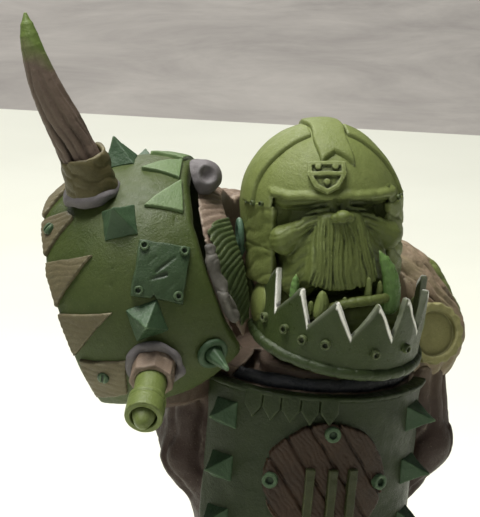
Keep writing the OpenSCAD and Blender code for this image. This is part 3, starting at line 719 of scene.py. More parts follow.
def make_cheek_guards():
    fields = []
    for side, front, back in ((-1, 49, 96), (1, 41, 92)):
        def field(p, side=side, front=front, back=back):
            x, y, z = (p[:, 0] - HEAD_X) * side, p[:, 1] + 5, p[:, 2]
            angle = np.degrees(np.arctan2(x, -y))
            r = np.hypot(x, y)
            arc = angle * np.pi / 180 * HELM_R
            d = np.abs(r - HELM_R + 0.55 + 0.02 * (66 - z)) - 0.5
            taper = 0.035 * np.clip(66 - z, 0, None)
            d = smax(d, front * 0.18 + taper - arc + 0.15 * noise(p, 1.5, 3), 0.3)
            d = smax(d, arc - back * 0.165 + taper * 1.6, 0.3)
            d = smax(d, 56.3 + 0.08 * np.abs(arc - 13) + 0.12 * noise(p, 1.2, 4) - z, 0.35)
            d = smax(d, z - 66.7, 0.1)
            seam = np.abs(z - 61.2 - 0.15 * noise(p, 1, 2)) - 0.02
            d += 0.14 * np.exp(-(seam / 0.16) ** 2)
            crease = z + 0.5 * arc + 0.6 * noise(p, 1.5, 13)
            d += (0.12 + 0.1 * (side > 0)) * groove(crease, 2.1, 3)
            return d + lumps(p, 0.08, 10)
        x0, x1 = (-11, -3) if side < 0 else (4, 12)
        fields.append(Field(field, (x0, -14, 55.6), (x1, -2.6, 67), voxel=0.15))
    clay("cheek_guards", fields, "head", OLIVE)


def knob(place, r, h, hole=0.45, seed=0):
    """Tube-punched ring rivet standing on place."""
    def field(q):
        d = drum(q, r, -0.4, h, 0.14)
        d = smax(d, -drum(q, r * hole, h * 0.2, h + 1, 0.05), 0.1)
        return d + lumps(q, 0.025, seed)
    return Field(field, (-r - 0.2, -r - 0.2, -0.5), (r + 0.2, r + 0.2, h + 0.3), place, 0.08)


def make_helmet_trim():
    fields = []
    for side in (-1, 1):
        for lat, turn in ((8, 69), (8, 76), (9, 60)):
            r = HELM_R + (0.1 if side < 0 else -0.45)
            fields.append(knob(on_sphere(HELM, -90 + side * turn, lat, r), 0.34, 0.4,
                               0.5, lat + side))
    clay("helmet_rivets", fields, "head", DARK)

    loop_at = Place((HEAD_X - HELM_R - 0.35, -5.6, 61.9), rot_x(-12) @ rot_y(90))

    def loop(q):
        s = q * np.float32((0.62, 1.15, 1))
        d = hoop(s, 0.95, 0.38)
        tail = limb(q, (1.9, 0.1, 0.1), (3.4, 0.6, -0.4), 0.55, 0.3)
        return smin(d, tail, 0.25) + lumps(q, 0.05, 3)
    clay("strap_loop", [Field(loop, (-2.4, -1.8, -1), (4, 1.8, 1), loop_at, 0.1)],
         "head", GREEN)


GUARD_AT = Place((1.3, -9, 49), rot_y(10) @ rot_x(9))
GUARD_R, GUARD_T, VALLEY = 10.6, 0.8, 4.6
# where each saw tooth starts, where its tip is, and how tall it is
TEETH_AT = [(-96, -78, 9.2), (-66, -49, 8.5), (-37.5, -21, 8.4), (-6, 9.5, 8.8),
            (25, 33, 9.6), (54, 62, 9.4), (84, 92, 9.4), (112, 120, 9)]


def guard_top(angle):
    """Height of the saw-tooth edge round the jaw guard."""
    xs, ys = [], []
    for start, tip, height in TEETH_AT:
        xs += [start, tip - 1.2, tip + 1.2]
        ys += [VALLEY, height, height]
    return np.interp(angle, xs, ys)


def guard_parts(q):
    r = radius(q)
    angle = front_deg(q)
    wall_r = GUARD_R - 0.05 * q[:, 2] - GUARD_T / 2 + 0.1 * noise(q, 4, 2)
    wall = np.abs(r - wall_r) - GUARD_T / 2
    rise = guard_top(angle + 1.2 * noise(q, 2.5, 6))
    cut = (q[:, 2] - rise) * 0.5
    back = (np.abs(angle) - 99) * 0.18
    return wall, cut, back


def make_jaw_guard():
    def field(q):
        wall, cut, back = guard_parts(q)
        d = smax(smax(wall, cut, 0.1), np.maximum(back, -q[:, 2]), 0.12)
        return d + lumps(q, 0.04, 12)

    def tone(q):
        _, cut, _ = guard_parts(q)
        white = np.clip(1.5 + cut / 0.3, 0, 1)
        patchy = np.clip(1.1 + 0.8 * noise(q, 1.6, 3), 0, 1)
        angle = front_deg(q)
        slope = np.gradient(guard_top(np.arange(-130, 131.0)), 1.0)
        steep = np.interp(angle, np.arange(-130, 131.0), slope) < 0
        return np.clip(white * patchy * np.where(steep, 2.0, 0.1), 0, 1)
    clay("jaw_guard", [Field(field, (-12, -12, -0.4), (12, 3, 11.2), GUARD_AT, 0.13, tone)],
         "head", GUARD)

    def rim(q):
        angle = front_deg(q)
        r = radius(q)
        roll = 0.72 + 0.06 * noise(q, 1.4, 5)
        d = np.hypot(r - GUARD_R + 0.1, (q[:, 2] + 0.25) * 0.95) - roll
        nick = groove(angle + 4 * noise(q, 2, 4), 14, 9)
        d += 0.09 * nick
        return smax(d, (np.abs(angle) - 100) * 0.18, 0.4) + lumps(q, 0.03, 13)
    clay("jaw_guard_rim", [Field(rim, (-12, -12, -1.5), (12, 3, 1), GUARD_AT, 0.13)],
         "head", DARK)

    fields = []
    for i, angle in enumerate((-75, -53, -38, -22, 13, 40)):
        spot = on_drum(GUARD_AT, angle, 2.6 + 0.3 * (i % 2), GUARD_R - 0.1)
        fields.append(knob(spot, 0.62, 0.5, 0.5, i))
    clay("jaw_guard_rivets", fields, "head", GUARD)

    fields = []
    for side in (-1, 1):
        spot = GUARD_AT.then((side * (GUARD_R - 0.25), 1.0, 3), rot_y(side * 90))

        def boss(q):
            r = radius(q)
            crown = q[:, 2] - 0.95 + 0.11 * r ** 2
            d = smax(smax(r - 2.9, crown, 0.3), -q[:, 2] - 0.6, 0.2)
            return d + lumps(q, 0.06, 14)
        fields.append(Field(boss, (-3.2, -3.2, -0.9), (3.2, 3.2, 1.3), spot, 0.13))
    clay("guard_bosses", fields, "head", OLIVE)


# ---------------------------------------------------------------- torso

CHEST = Place((0, 1, 42), rot_y(5)).then((0, 0, -42))
CHEST_R, PLATE_R, PLATE_HALF = 13.8, 15.0, 68.0
PLATE_Z0, PLATE_Z1 = 22.0, 42.0
NECK_X, NECK_Y, NECK_SEAT = 0.5, -3.5, 45.0
SHELL = Place((-20, 2, 53.5), rot_z(-19) @ rot_y(70))
SHELL_R, SHELL_T = 17.0, 1.2
STUMP_R, HUB_TOP = 15.4, -3.0
SHELL_MID, SHELL_HALF = 182.0, 130.0
SHELL_Z0, SHELL_Z1 = -8.76, 10.23
SEAT = Place((13.9, 4, 45.2), rot_z(13) @ rot_x(78))


def head_room(p):
    """Where the head turns, negative inside."""
    r = np.hypot(p[:, 0] - NECK_X, p[:, 1] - NECK_Y)
    return np.maximum(r - 12.3, NECK_SEAT + 0.15 - p[:, 2])


def plate_room(p):
    """Where the breastplate and what is on it are."""
    q = CHEST.into(p).astype(np.float32)
    r = radius(q)
    side = (np.abs(front_deg(q)) - PLATE_HALF - 0.6) * 0.25
    return np.maximum.reduce([CHEST_R + 0.02 - r, side, PLATE_Z0 - 0.1 - q[:, 2], q[:, 2] - 47])


def shell_room(p):
    """Where the shoulder shell and its hub swing."""
    q = SHELL.into(p).astype(np.float32)
    ang = turn_deg(q)
    side = (np.abs(ang - SHELL_MID) - SHELL_HALF - 9) * 0.28
    cap = np.maximum.reduce([length(q) - 19.1, q[:, 2] - SHELL_Z1 - 0.35, -q[:, 2] - 20, side])
    hub = np.maximum.reduce([radius(q) - 7.3, q[:, 2] - HUB_TOP - 0.15])
    return np.minimum(cap, hub)


def stump(p):
    """Ball under the shoulder shell."""
    q = SHELL.into(p).astype(np.float32)
    return smax(length(q) - STUMP_R, HUB_TOP + 0.15 - q[:, 2], 0.3)


def strand(p, points, radii, seed, cut=0.0):
    """Muscle through several points, with cuts along it."""
    d = None
    for i in range(len(points) - 1):
        bar = limb(p, points[i], points[i + 1], radii[i], radii[i + 1])
        d = bar if d is None else smin(d, bar, 1.2)
    if cut:
        a, b = np.array(points[0]), np.array(points[-1])
        axis = (b - a) / np.linalg.norm(b - a)
        across = np.cross(axis, (0.3, 1.0, 0.1))
        across /= np.linalg.norm(across)
        other = np.cross(axis, across)
        u = (p - np.float32(a)) @ np.float32(across)
        v = (p - np.float32(a)) @ np.float32(other)
        turn = np.arctan2(v, u) * 4 + 1.1 * noise(p, 3.5, seed)
        d = d + cut * (0.5 + 0.5 * np.cos(turn * 2.6)) ** 3
    return d


def deltoid(p):
    d = smin(ball(p, (11.6, 5.4, 50.6), 6.7), ball(p, (13.9, 4, 45.2), 7.7), 3.0)
    return smin(d, limb(p, (11.6, 5.4, 50.6), (13.9, 4, 45.2), 6.75, 7.7), 0.5)


def torso_field(p):
    q = CHEST.into(p).astype(np.float32)
    r = radius(q)
    barrel = smax(r - CHEST_R, q[:, 2] - 42.55, 0.4)
    waist = 10.5 + (CHEST_R - 10.5) * np.clip((q[:, 2] - 14) / 10, 0, 1)
    d = smax(barrel, (r - waist) * 0.95, 0.6)
    neck = np.hypot(p[:, 0] - NECK_X, p[:, 1] - NECK_Y) - 7.4
    d = smin(d, smax(neck, p[:, 2] - NECK_SEAT + 0.15, 0.3), 0.4)
    flanks = None
    for side, out in ((-1, 19), (1, 20)):
        for i in range(4):
            pts = [(side * 8.4, 2 + i, 22.5), (side * (out - 4.6), 1.6 + 2.4 * i, 31 + 1.4 * i),
                   (side * (out - 6.4), 2 + 1.4 * i, 41)]
            bar = strand(p, pts, (4.1, 4.3, 5.1), i, 0.45)
            flanks = bar if flanks is None else smin(flanks, bar, 0.35)
    back = None
    for i in range(4):
        x = -9.4 + i * 6.4
        pts = [(x * 0.6, 6.7, 33), (x, 7.6, 57 - (x + 9) * 0.38)]
        bar = strand(p, pts, (6.4, 7.2), 10 + i, 0.3)
        back = bar if back is None else smin(back, bar, 1.0)
    for side in (-1, 1):
        back = smin(back, egg(p, (side * 7, 11.5, 45), (5, 3.2, 7)), 1.2)
    back = smax(back, -limb(p, (0.3, 15.8, 30), (0.3, 17.2, 56), 1.4, 1.0), 1.2)
    d = smin(smin(d, flanks, 0.6), back, 0.8)
    d = smin(d, smax(stump(p), deltoid(p) * -1 - 3, 0.3), 0.5)
    d = smax(d, -deltoid(p) - 0.5, 0.3)
    d += lumps(p, 0.14, 20)
    near = SHELL.into(p).astype(np.float32)
    lean = near[:, 2] + 12 * turn_rad(near)
    on_stump = np.clip((near[:, 2] - 9) / 1.5, 0, 1) * np.clip((17 - length(near)) / 1, 0, 1)
    d += 0.2 * on_stump * groove(lean + 0.7 * noise(p, 2.5, 18), 1.5, 2.5)
    for room in (head_room, plate_room, shell_room):
        d = smax(d, -room(p), 0.08)
    return smax(d, 17.0 - p[:, 2], 0.3)


def make_torso():
    # painted shade: the torso is darkened towards the bottom, in the shade under the shoulder shell
    def shade(p):
        return np.clip((46 - p[:, 2]) / 11 + 0.25 * noise(p, 3, 31), 0, 0.9)
    clay("torso", [Field(torso_field, (-26, -17, 16.5), (23, 19, 66), voxel=0.27, tone=shade)],
         "torso",
         BROWN, ["torso_core", "back_muscles", "flank_muscles", "shoulder_stump"])

    def arm(p):
        d = deltoid(p)
        run = p[:, 1] * 0.85 + 0.45 * p[:, 0] + 0.22 * (p[:, 2] - 46) + 0.9 * noise(p, 3.2, 5)
        d += 0.36 * groove(run, 1.9, 3) + 0.16 * groove(run + 0.4 * noise(p, 1.2, 2), 0.83, 4)
        d += 0.22 * noise(p, 1.6, 8)
        q = SEAT.into(p).astype(np.float32)
        dent = drum(q, 4.15, 6.7, 14, 0.2)
        for room in (head_room, plate_room):
            d = smax(d, -room(p), 0.1)
        low = CHEST.into(p).astype(np.float32)
        inner = np.maximum(radius(low) - CHEST_R - 0.02, low[:, 2] - 44.7)
        return smax(smax(d, -inner, 0.1), -dent, 0.15) + lumps(p, 0.05, 21)
    clay("left_deltoid", [Field(arm, (4, -4.5, 36.5), (22.5, 13, 58), voxel=0.2)], "torso",
         TAN)

    def patch(p):
        d = limb(p, (15.4, 6.2, 50.8), (17.8, 4.6, 46.2), 4.2, 4.0)
        run = p[:, 1] - p[:, 0] * 0.4 + 0.3 * p[:, 2] + 0.8 * noise(p, 2, 5)
        return d + 0.14 * groove(run, 1.5, 3) + lumps(p, 0.16, 22)
    clay("deltoid_patch", [Field(patch, (10, 2, 41), (22.2, 12.4, 55.4), voxel=0.2)], "torso",
         OLIVE)

    def seat(q):
        r = radius(q)
        turn = turn_rad(q)
        rim = 3.95 + 0.13 * np.cos(15 * turn + 0.6 * noise(q, 2, 3))
        d = smax(r - rim, q[:, 2] - 8.85 + 0.05 * np.cos(15 * turn), 0.25)
        dish = smax(r - 2.95 - 0.05 * noise(q, 1, 4), 7.95 - q[:, 2], 0.25)
        floor = ball(q, (0, 0, 12.4), 4.6)
        d = smax(smax(d, -dish, 0.2), -floor, 0.2)
        return smax(d, 6.9 - q[:, 2], 0.05) + lumps(q, 0.045, 23)
    clay("arm_seat", [Field(seat, (-4.3, -4.3, 6.8), (4.3, 4.3, 9.2), SEAT, 0.1)], "torso",
         SEATCLAY)

    def collar(q):
        r = radius(q)
        d = np.hypot(r - 12.85, (q[:, 2] - 43.3) * 0.75) - 0.72
        d += 0.12 * noise(q, 1.5, 4) + 0.05 * noise(q, 0.6, 5)
        d = smax(d, q[:, 1] - 5, 0.3)
        p = CHEST.out(q).astype(np.float32)
        return smax(smax(d, -stump(p) + 0.05, 0.1), 42.6 - q[:, 2], 0.05)
    clay("neck_collar", [Field(collar, (-13.8, -13.8, 42.4), (13.8, 5.2, 44.7), CHEST, 0.14)],
         "torso", INK)

    def gorget(q):
        ang = turn_deg(q)
        d = skin(q, STUMP_R - 0.2, STUMP_R + 0.4 + 0.1 * noise(q, 2, 5))
        d = smax(d, 11.2 + 0.3 * noise(q, 1.5, 3) - q[:, 2], 0.4)
        start = 226 - 7 * (q[:, 2] - 12) + 3 * noise(q, 2, 6)
        d = smax(d, np.maximum(start - ang, ang - 306) * 0.2, 0.5)
        lean = q[:, 2] + 0.21 * ang + 0.5 * noise(q, 2.2, 4)
        d += 0.13 * groove(lean, 1.05, 2.2) + lumps(q, 0.05, 24)
        return smax(d, -head_room(SHELL.out(q).astype(np.float32)), 0.1)
    clay("neck_guard", [Field(gorget, (-11, -12, 10.9), (7.5, 3, 16.4), SHELL, 0.14)],
         "torso", DARK)


def make_breastplate():
    def wall(q):
        r = radius(q)
        ang = front_deg(q)
        flare = 0.012 * np.clip(q[:, 2] - 38, 0, None) ** 2 * np.clip((np.abs(ang) - 40) / 28, 0, 1)
        d = np.abs(r - (CHEST_R + PLATE_R) / 2 - flare + 0.1 * noise(q, 5, 3)) - 0.6
        d = smax(d, (np.abs(ang) - PLATE_HALF) * 0.25, 0.35)
        d = smax(d, np.maximum(PLATE_Z0 + 0.15 * noise(q, 3, 9) - q[:, 2], q[:, 2] - PLATE_Z1), 0.25)
        dents = noise(q, 2.2, 12)
        return d + 0.09 * np.clip(dents, 0.1, None) + lumps(q, 0.035, 30)
    clay("breastplate", [Field(wall, (-15.6, -15.7, 21.7), (15.6, -4, 42.4), CHEST, 0.17)],
         "torso", ARMOUR)

    def lip(q):
        r = radius(q)
        ang = front_deg(q)
        d = slab(np.stack([r - 14.75, q[:, 2] - 42.3 - 0.1 * noise(q, 3, 2),
                           np.zeros_like(r)], 1), (0.92, 0.34, 9), 0.25)
        d = smax(d, (np.abs(ang) - PLATE_HALF) * 0.25, 0.3)
        return d + 0.06 * groove(ang + 3 * noise(q, 2, 4), 9, 6) + lumps(q, 0.03, 31)
    clay("breastplate_rim", [Field(lip, (-16, -16, 41.7), (16, -4, 43), CHEST, 0.13)], "torso",
         ARMOUR)

    dag = [(-1.2, 1), (1.2, 1), (1.2, -0.9), (0.1, -2.6), (-1.2, -0.9)]
    fields = []
    for i in range(5):
        spot = on_drum(CHEST, -38 + 9 * i, PLATE_Z1 - 0.5, 0)

        def tongue(q, i=i):
            r = np.hypot(q[:, 0], q[:, 2])
            hang = np.abs(r - PLATE_R - 0.3 * (1 - 0.35 * q[:, 1])) - 0.45
            d = smax(outline(q[:, :2], dag), hang, 0.25)
            return d + lumps(q, 0.05, i)
        fields.append(Field(tongue, (-1.5, -2.8, 14.2), (1.5, 0.6, 15.8), spot, 0.09))
    clay("plate_fringe", fields, "torso", ARMOUR)

    for name, side in (("plate_spikes_right", -1), ("plate_spikes_left", 1)):
        fields = []
        for i in range(3):
            spot = on_drum(CHEST, side * 54, 38.4 - 7.1 * i, PLATE_R)
            fields.append(pyramid(spot, 3.4, 3.3, 40 + i + side))
        clay(name, fields, "torso", SPIKE)


def pyramid(place, w, h, seed):
    """Square cut spike, its faces slightly hollow and its edges a little soft."""
    rng = np.random.default_rng(1000 + seed)
    off = rng.uniform(-0.12, 0.12, 2)
    spot = place.then((0, 0, 0), rot_z(rng.uniform(-4, 4)))

    def field(q):
        half, tall = w / 2, h + 0.12
        d = None
        for axis in (0, 1):
            x = q[:, axis] - off[axis] * np.clip(q[:, 2] / h, 0, 1)
            face = (np.abs(x) * tall + q[:, 2] * half - half * tall) / math.hypot(tall, half)
            d = face if d is None else smax(d, face, 0.1)
        d = smax(d, q[:, 2] - h, 0.15)
        d = smax(d, -q[:, 2] - 1.0, 0.1)
        d = np.maximum(d, np.maximum(np.abs(q[:, 0]), np.abs(q[:, 1])) - half)
        hollow = 0.07 * np.sin(np.clip(q[:, 2] / h, 0, 1) * np.pi)
        return d + hollow + 0.05 * noise(q, 1.1, seed) + 0.02 * noise(q, 0.35, seed)
    reach = w / 2 + 0.4
    return Field(field, (-reach, -reach, -1.1), (reach, reach, h + 0.3), spot, 0.1)


def make_plaque():
    disc_r, z0 = 8.0, 31.4
    spot = on_drum(CHEST, 0, z0, 0)

    def disc(q):
        r = np.hypot(q[:, 0], q[:, 2])
        turn = turn_rad(q)
        edge = disc_r - 0.15 + 0.16 * noise(q, 1.3, 4) + 0.1 * np.cos(7 * turn)
        top = PLATE_R + 0.86
        plank = q[:, 0] * 0.82 + q[:, 1] * 0.57
        cut = groove(plank + 0.15 * noise(q, 2, 2) + 1.2, 3.1, 26)
        fine = groove(plank + 0.35 * noise(q, 1.2, 5), 0.55, 3)
        d = smax(radius(q) - edge, r - top, 0.25)
        d = d + 0.3 * cut + 0.06 * fine
        return smax(d, PLATE_R - 0.15 - r, 0.05) + lumps(q, 0.04, 33)
    clay("plaque", [Field(disc, (-8.4, -8.4, 12), (8.4, 8.4, 16.2), spot, 0.12)], "torso",
         PLANK)

    top = PLATE_R + 0.9
    rivets = []
    for i, turn in enumerate((90, 180, 0)):
        x, y = 6.6 * math.cos(math.radians(turn)), 6.6 * math.sin(math.radians(turn))
        at = on_drum(CHEST, math.degrees(math.asin(x / PLATE_R)), z0 + y, top)
        rivets.append(knob(at, 1.0, 0.6, 0.52, i))
    clay("plaque_rivets", rivets, "torso", SPIKE)

    bars = []
    for i, x in enumerate((-2.2, 0.4, 3)):
        at = on_drum(CHEST, math.degrees(math.asin(x / PLATE_R)), z0 - 1.2, top)

        def bar(q, i=i):
            d = slab(q - np.float32((0.1 * math.sin(i * 2), 0, 0.1)), (0.6, 3.2, 0.46), 0.16)
            return d + 0.05 * noise(q, 0.8, i) + lumps(q, 0.04, 35 + i)
        bars.append(Field(bar, (-0.9, -3.5, -0.5), (0.9, 3.5, 0.8), at, 0.09))
    clay("plaque_bars", bars, "torso", BARS)


def make_torso_tack():
    def lump(q):
        d = egg(q, ball_at, (2.3, 2.5, 2.6)) + 0.3 * noise(q, 2.4, 2) + 0.08 * noise(q, 0.8, 5)
        d = smax(d, -ball(q, ball_at + np.array([-0.6, -2.3, 1.6]), 1.1), 0.5)
        d = smax(d, 10.7 - q[:, 2], 0.2)
        return smax(d, STUMP_R - length(q), 0.05)
    ball_at = on_sphere(WORLD, 190, 43.5, 16.6).origin
    clay("tack_ball", [Field(lump, ball_at - 2.8, ball_at + 2.8, SHELL, 0.12)], "torso",
         PUTTY)

    def roll(q):
        ang = turn_deg(q)
        r = radius(q)
        fat = 0.8 + 0.4 * noise(q, 1.5, 6)
        d = np.hypot((r - 12.5 + 0.5 * noise(q, 2.5, 9)) * 0.8, q[:, 2] - 11.2) - fat
        d = smax(d, (np.abs(ang - 268) - 24) * 0.19, 0.8)
        d += 0.12 * groove(ang + 12 * noise(q, 1.5, 3), 13, 6)
        return smax(smax(d, STUMP_R - length(q), 0.05), 10.4 - q[:, 2], 0.1)
    clay("tack_roll", [Field(roll, (-10, -14.5, 10.2), (9, -5, 12.9), SHELL, 0.12)], "torso",
         SMEAR)


# ---------------------------------------------------------------- shoulder

HORN = on_sphere(SHELL, 207, -3, SHELL_R).then((0, 0, 0), rot_z(238) @ rot_y(21))
BARREL = on_sphere(SHELL, 290, 3, SHELL_R).then((0, 0, 0), rot_y(10))
BARREL_LEN = 10.5
THORN = on_sphere(SHELL, 298, 26, SHELL_R)
TRIM_PROUD = 0.48
# the way in which the horn's putty foot is fattest, in radians
FOOT_FULL = -0.5


def trim_sheet(q, shape):
    """Thin cut sheet lying on the shoulder shell, in a frame at the sphere's middle."""
    return smax(outline(q[:, :2], shape), skin(q, SHELL_R - 0.3, SHELL_R + TRIM_PROUD), 0.12)


def shell_wall(q):
    """The pauldron: part of a sphere's skin, open below, above and towards the chest."""
    ang = turn_deg(q)
    d = skin(q, SHELL_R - SHELL_T, SHELL_R) + 0.05 * noise(q, 5, 1)
    d = smax(d, q[:, 2] - SHELL_Z1 + 0.12 * noise(q, 2, 3), 0.35)
    d = smax(d, SHELL_Z0 + 0.15 * noise(q, 1.6, 4) - q[:, 2], 0.35)
    d = smax(d, (np.abs(ang - SHELL_MID) - SHELL_HALF) * 0.28, 0.35)
    nick = np.clip(noise(q, 0.7, 8) - 0.72, 0, None)
    return d + 0.5 * nick + lumps(q, 0.05, 40)


def make_shell():
    clay("shoulder_shell", [Field(shell_wall, (-17.3, -17.3, -9.2), (12, 17.3, 10.7), SHELL, 0.21)],
         "shoulder", SHELLCLAY)

    def hub(q):
        ang = turn_deg(q)
        r = radius(q)
        wing = np.maximum(length(q) - 15.75, (np.abs(ang - SHELL_MID) - SHELL_HALF) * 0.28)
        d = smax(np.minimum(wing, r - 7), np.maximum(q[:, 2] - HUB_TOP, -8 - q[:, 2]), 0.3)
        d = smax(d, -(r - 1.25), 0.05)
        return d + 0.15 * noise(q, 2.4, 5) * (q[:, 2] < HUB_TOP - 1) + lumps(q, 0.06, 41)
    clay("shell_hub", [Field(hub, (-16, -16, -8.4), (12, 16, -2.7), SHELL, 0.26)], "shoulder",
         BROWN)

    rng = np.random.default_rng(77)
    fields = []
    for i in range(10):
        shape = np.array([(2.6, 2.8), (2.6, -2.8), (-4.7, -1.1)])
        if i == 0:
            shape = np.array([(2.2, 3.1), (2.2, -3.0), (-4.2, -2.2), (-2.4, 3.0)])
        shape = shape + rng.uniform(-0.22, 0.22, shape.shape)
        spot = on_sphere(SHELL, 292 - 25.2 * i, -22, 0)

        def dagger(q, shape=shape, i=i, spot=spot):
            d = trim_sheet(q, shape)
            run = q[:, 0] * 0.4 + q[:, 1] + 0.5 * noise(q, 2, i)
            d = d + 0.05 * groove(run, 0.9, 3) + 0.08 * noise(q, 1.5, i + 3) + lumps(q, 0.035, i)
            foot = HORN.into(spot.out(q))
            return smax(d, 3.6 - np.hypot(foot[:, 0], foot[:, 1]), 0.1)
        fields.append(Field(dagger, (-5.2, -3.7, 15.3), (3.2, 3.7, 17.9), spot, 0.12))
    clay("outer_trim", fields, "shoulder", DAGGER)

    fields = []
    for i in range(7):
        shape = np.array([(-1.95, 2.9), (-1.95, -2.9), (3.0, 1.6)])
        shape = shape + rng.uniform(-0.15, 0.15, shape.shape)
        spot = on_sphere(SHELL, 215 - 24.5 * i, 28, 0)

        def leaf(q, shape=shape, i=i):
            return trim_sheet(q, shape) + 0.06 * noise(q, 1.4, i) + lumps(q, 0.035, i + 20)
        fields.append(Field(leaf, (-2.5, -3.3, 15.6), (3.6, 3.3, 17.9), spot, 0.12))
    clay("inner_trim", fields, "shoulder", LEAF)

    fields = []
    for az, lat, turn in ((215, -25, 20), (290, -20, 60)):
        spot = on_sphere(SHELL, az, lat, SHELL_R + 0.45).then((0, 0, 0), rot_z(turn))

        def screw(q):
            d = smax(drum(q, 0.75, -0.3, 0.55, 0.12), ball(q, (0, 0, -0.7), 1.3), 0.1)
            return smax(d, -slab(q - np.float32((0, 0, 0.6)), (1.2, 0.14, 0.34), 0.04), 0.06)
        fields.append(Field(screw, (-0.9, -0.9, -0.35), (0.9, 0.9, 0.75), spot, 0.06))
    clay("trim_screws", fields, "shoulder", SPIKE)

    fields = [pyramid(on_sphere(SHELL, 270.5 - 44 * i, 7, SHELL_R), 4.1, 3.4, i) for i in range(5)]
    clay("shell_spikes", fields, "shoulder", SPIKE)

    patch_at = on_sphere(SHELL, 252.5, 19, 0).then((0, 0, 0), rot_z(-24))
    shape = [(-3.2, -3.45), (3.15, -3.5), (3.25, 3.4), (0.9, 3.5), (0.5, 3.05), (0.1, 3.5),
             (-3.15, 3.55)]

    def patch(q):
        flat = q[:, :2] + 0.12 * noise(q, 1.2, 3)[:, None]
        d = smax(outline(flat, shape), skin(q, SHELL_R - 0.3, SHELL_R + 0.68), 0.14)
        deep = np.clip(q[:, 2] - 15, 0, 1)
        for a, b, w in (((-1.5, -1.9), (0.6, 0.2), 0.28), ((-0.6, 0.4), (1.3, 1.3), 0.3),
                        ((-1.6, 1.6), (-0.9, 2.3), 0.26), ((0.9, -1.6), (1.7, -0.7), 0.22)):
            r = SHELL_R + 0.82
            d = smax(d, -limb(q, (*a, r - 0.08), (*b, r - 0.08), w, w * 0.7), 0.12)
        return d + 0.05 * noise(q, 1.1, 5) * deep + lumps(q, 0.03, 45)
    clay("patch_plate", [Field(patch, (-3.8, -4, 15.6), (3.8, 4, 18), patch_at, 0.1)], "shoulder",
         PATCH)
    fields = []
    for u in (-8, 8):
        for v in (-9, 9):
            turn = rot_y(u) @ rot_x(v)
            spot = patch_at.then(turn @ np.array([0, 0, SHELL_R + 0.62]), turn)
            fields.append(knob(spot, 0.6, 0.48, 0.5, u + v))
    clay("patch_rivets", fields, "shoulder", PATCH)


def make_barrel():
    def bead(q):
        turn = turn_rad(q)
        fat = 0.6 + 0.3 * noise(q, 1.3, 4)
        d = np.hypot(radius(q) - 3.0 - 0.1 * np.cos(2 * turn), q[:, 2] - 0.35) - fat
        return d + 0.04 * noise(q, 0.5, 5)
    clay("barrel_tack", [Field(bead, (-4, -4, -0.9), (4, 4, 1.5), BARREL, 0.1)], "shoulder",
         PUTTY)

    def cuff(q):
        turn = turn_rad(q)
        r = radius(q)
        six = r * np.cos((turn + 0.3) % (np.pi / 3.5) - np.pi / 7) - 2.5
        d = smax(six, np.maximum(q[:, 2] - 3.7 - 0.15 * noise(q, 1.5, 3), -1.4 - q[:, 2]), 0.3)
        d = smax(d, -(r - 2.02), 0.1)
        return d + 0.1 * noise(q, 1.3, 6) + lumps(q, 0.04, 50)
    clay("barrel_cuff", [Field(cuff, (-3, -3, -1.6), (3, 3, 4.2), BARREL, 0.11)], "shoulder",
         BROWN)

    def tube(q):
        r = radius(q)
        d = smax(r - 1.93 - 0.05 * noise(q, 2, 3), np.maximum(q[:, 2] - 9, -1.4 - q[:, 2]), 0.1)
        muzzle = smax(r - 2.36, np.abs(q[:, 2] - BARREL_LEN + 1.75) - 1.75, 0.3)
        muzzle += 0.12 * np.exp(-((q[:, 2] - BARREL_LEN + 2.6) / 0.15) ** 2)
        d = smin(d, muzzle, 0.15)
        d = smax(d, -drum(q, 1.62, BARREL_LEN - 3.4, BARREL_LEN + 1, 0.05), 0.15)
        return d + lumps(q, 0.04, 51)
    clay("barrel_tube", [Field(tube, (-2.7, -2.7, -1.5), (2.7, 2.7, 10.9), BARREL, 0.1)],
         "shoulder", TUBE)

    def nose(q):
        z = q[:, 2] - BARREL_LEN + 3.4
        r = radius(q)
        lean = 1.5 * np.sqrt(np.clip(1 - (np.clip(z - 1.8, 0, None) / 3.3) ** 2, 0.0, 1))
        d = np.maximum((r - lean) * 0.7, np.maximum(-z, z - 5.05))
        return d + lumps(q, 0.03, 52)
    clay("barrel_round", [Field(nose, (-1.8, -1.8, 7), (1.8, 1.8, 12.4), BARREL, 0.08)],
         "shoulder", TUBE)

    clay("thorn_ring", [Field(lambda q: hoop(q - np.float32((0, 0, 0.3)), 1.6, 0.42)
                              + 0.05 * noise(q, 0.8, 3) + lumps(q, 0.03, 53),
                              (-2.2, -2.2, -0.3), (2.2, 2.2, 0.9), THORN, 0.08)], "shoulder",
         SPIKE)

    def thorn(q):
        turn = turn_rad(q)
        d = limb(q, (0, 0, -0.6), (0, 0, 4.2), 1.3, 0.22)
        return d + 0.05 * np.cos(turn * 5) + lumps(q, 0.04, 54)
    clay("thorn", [Field(thorn, (-1.6, -1.6, -0.9), (1.6, 1.6, 4.7), THORN, 0.08)], "shoulder",
         SPIKE)

    def foot(q):
        turn = turn_rad(q)
        r = radius(q)
        fat = 0.85 + 0.3 * noise(q, 1.7, 4) - 0.22 * np.cos(turn - FOOT_FULL)
        d = np.hypot(r - 2.75 - 0.08 * np.cos(3 * turn), (q[:, 2] - 0.3) * 1.05) - fat
        d = smin(d, smax(r - 2.8, np.abs(q[:, 2] - 0.1) - 0.9, 0.2), 0.3)
        return smax(d, -(r - 1.25), 0.05) + 0.04 * noise(q, 0.6, 5)
    clay("horn_tack", [Field(foot, (-4.1, -4.1, -1.2), (4.1, 4.1, 1.5), HORN, 0.12)], "shoulder",
         PUTTY)


# ---------------------------------------------------------------- horn

HORN_LEN, HORN_R = 20.9, 2.5


def horn_line(t):
    return np.array([7.2 * t ** 3 - 6.3 * t ** 2, 0.2 * HORN_LEN * t, 2.6 + HORN_LEN * t])


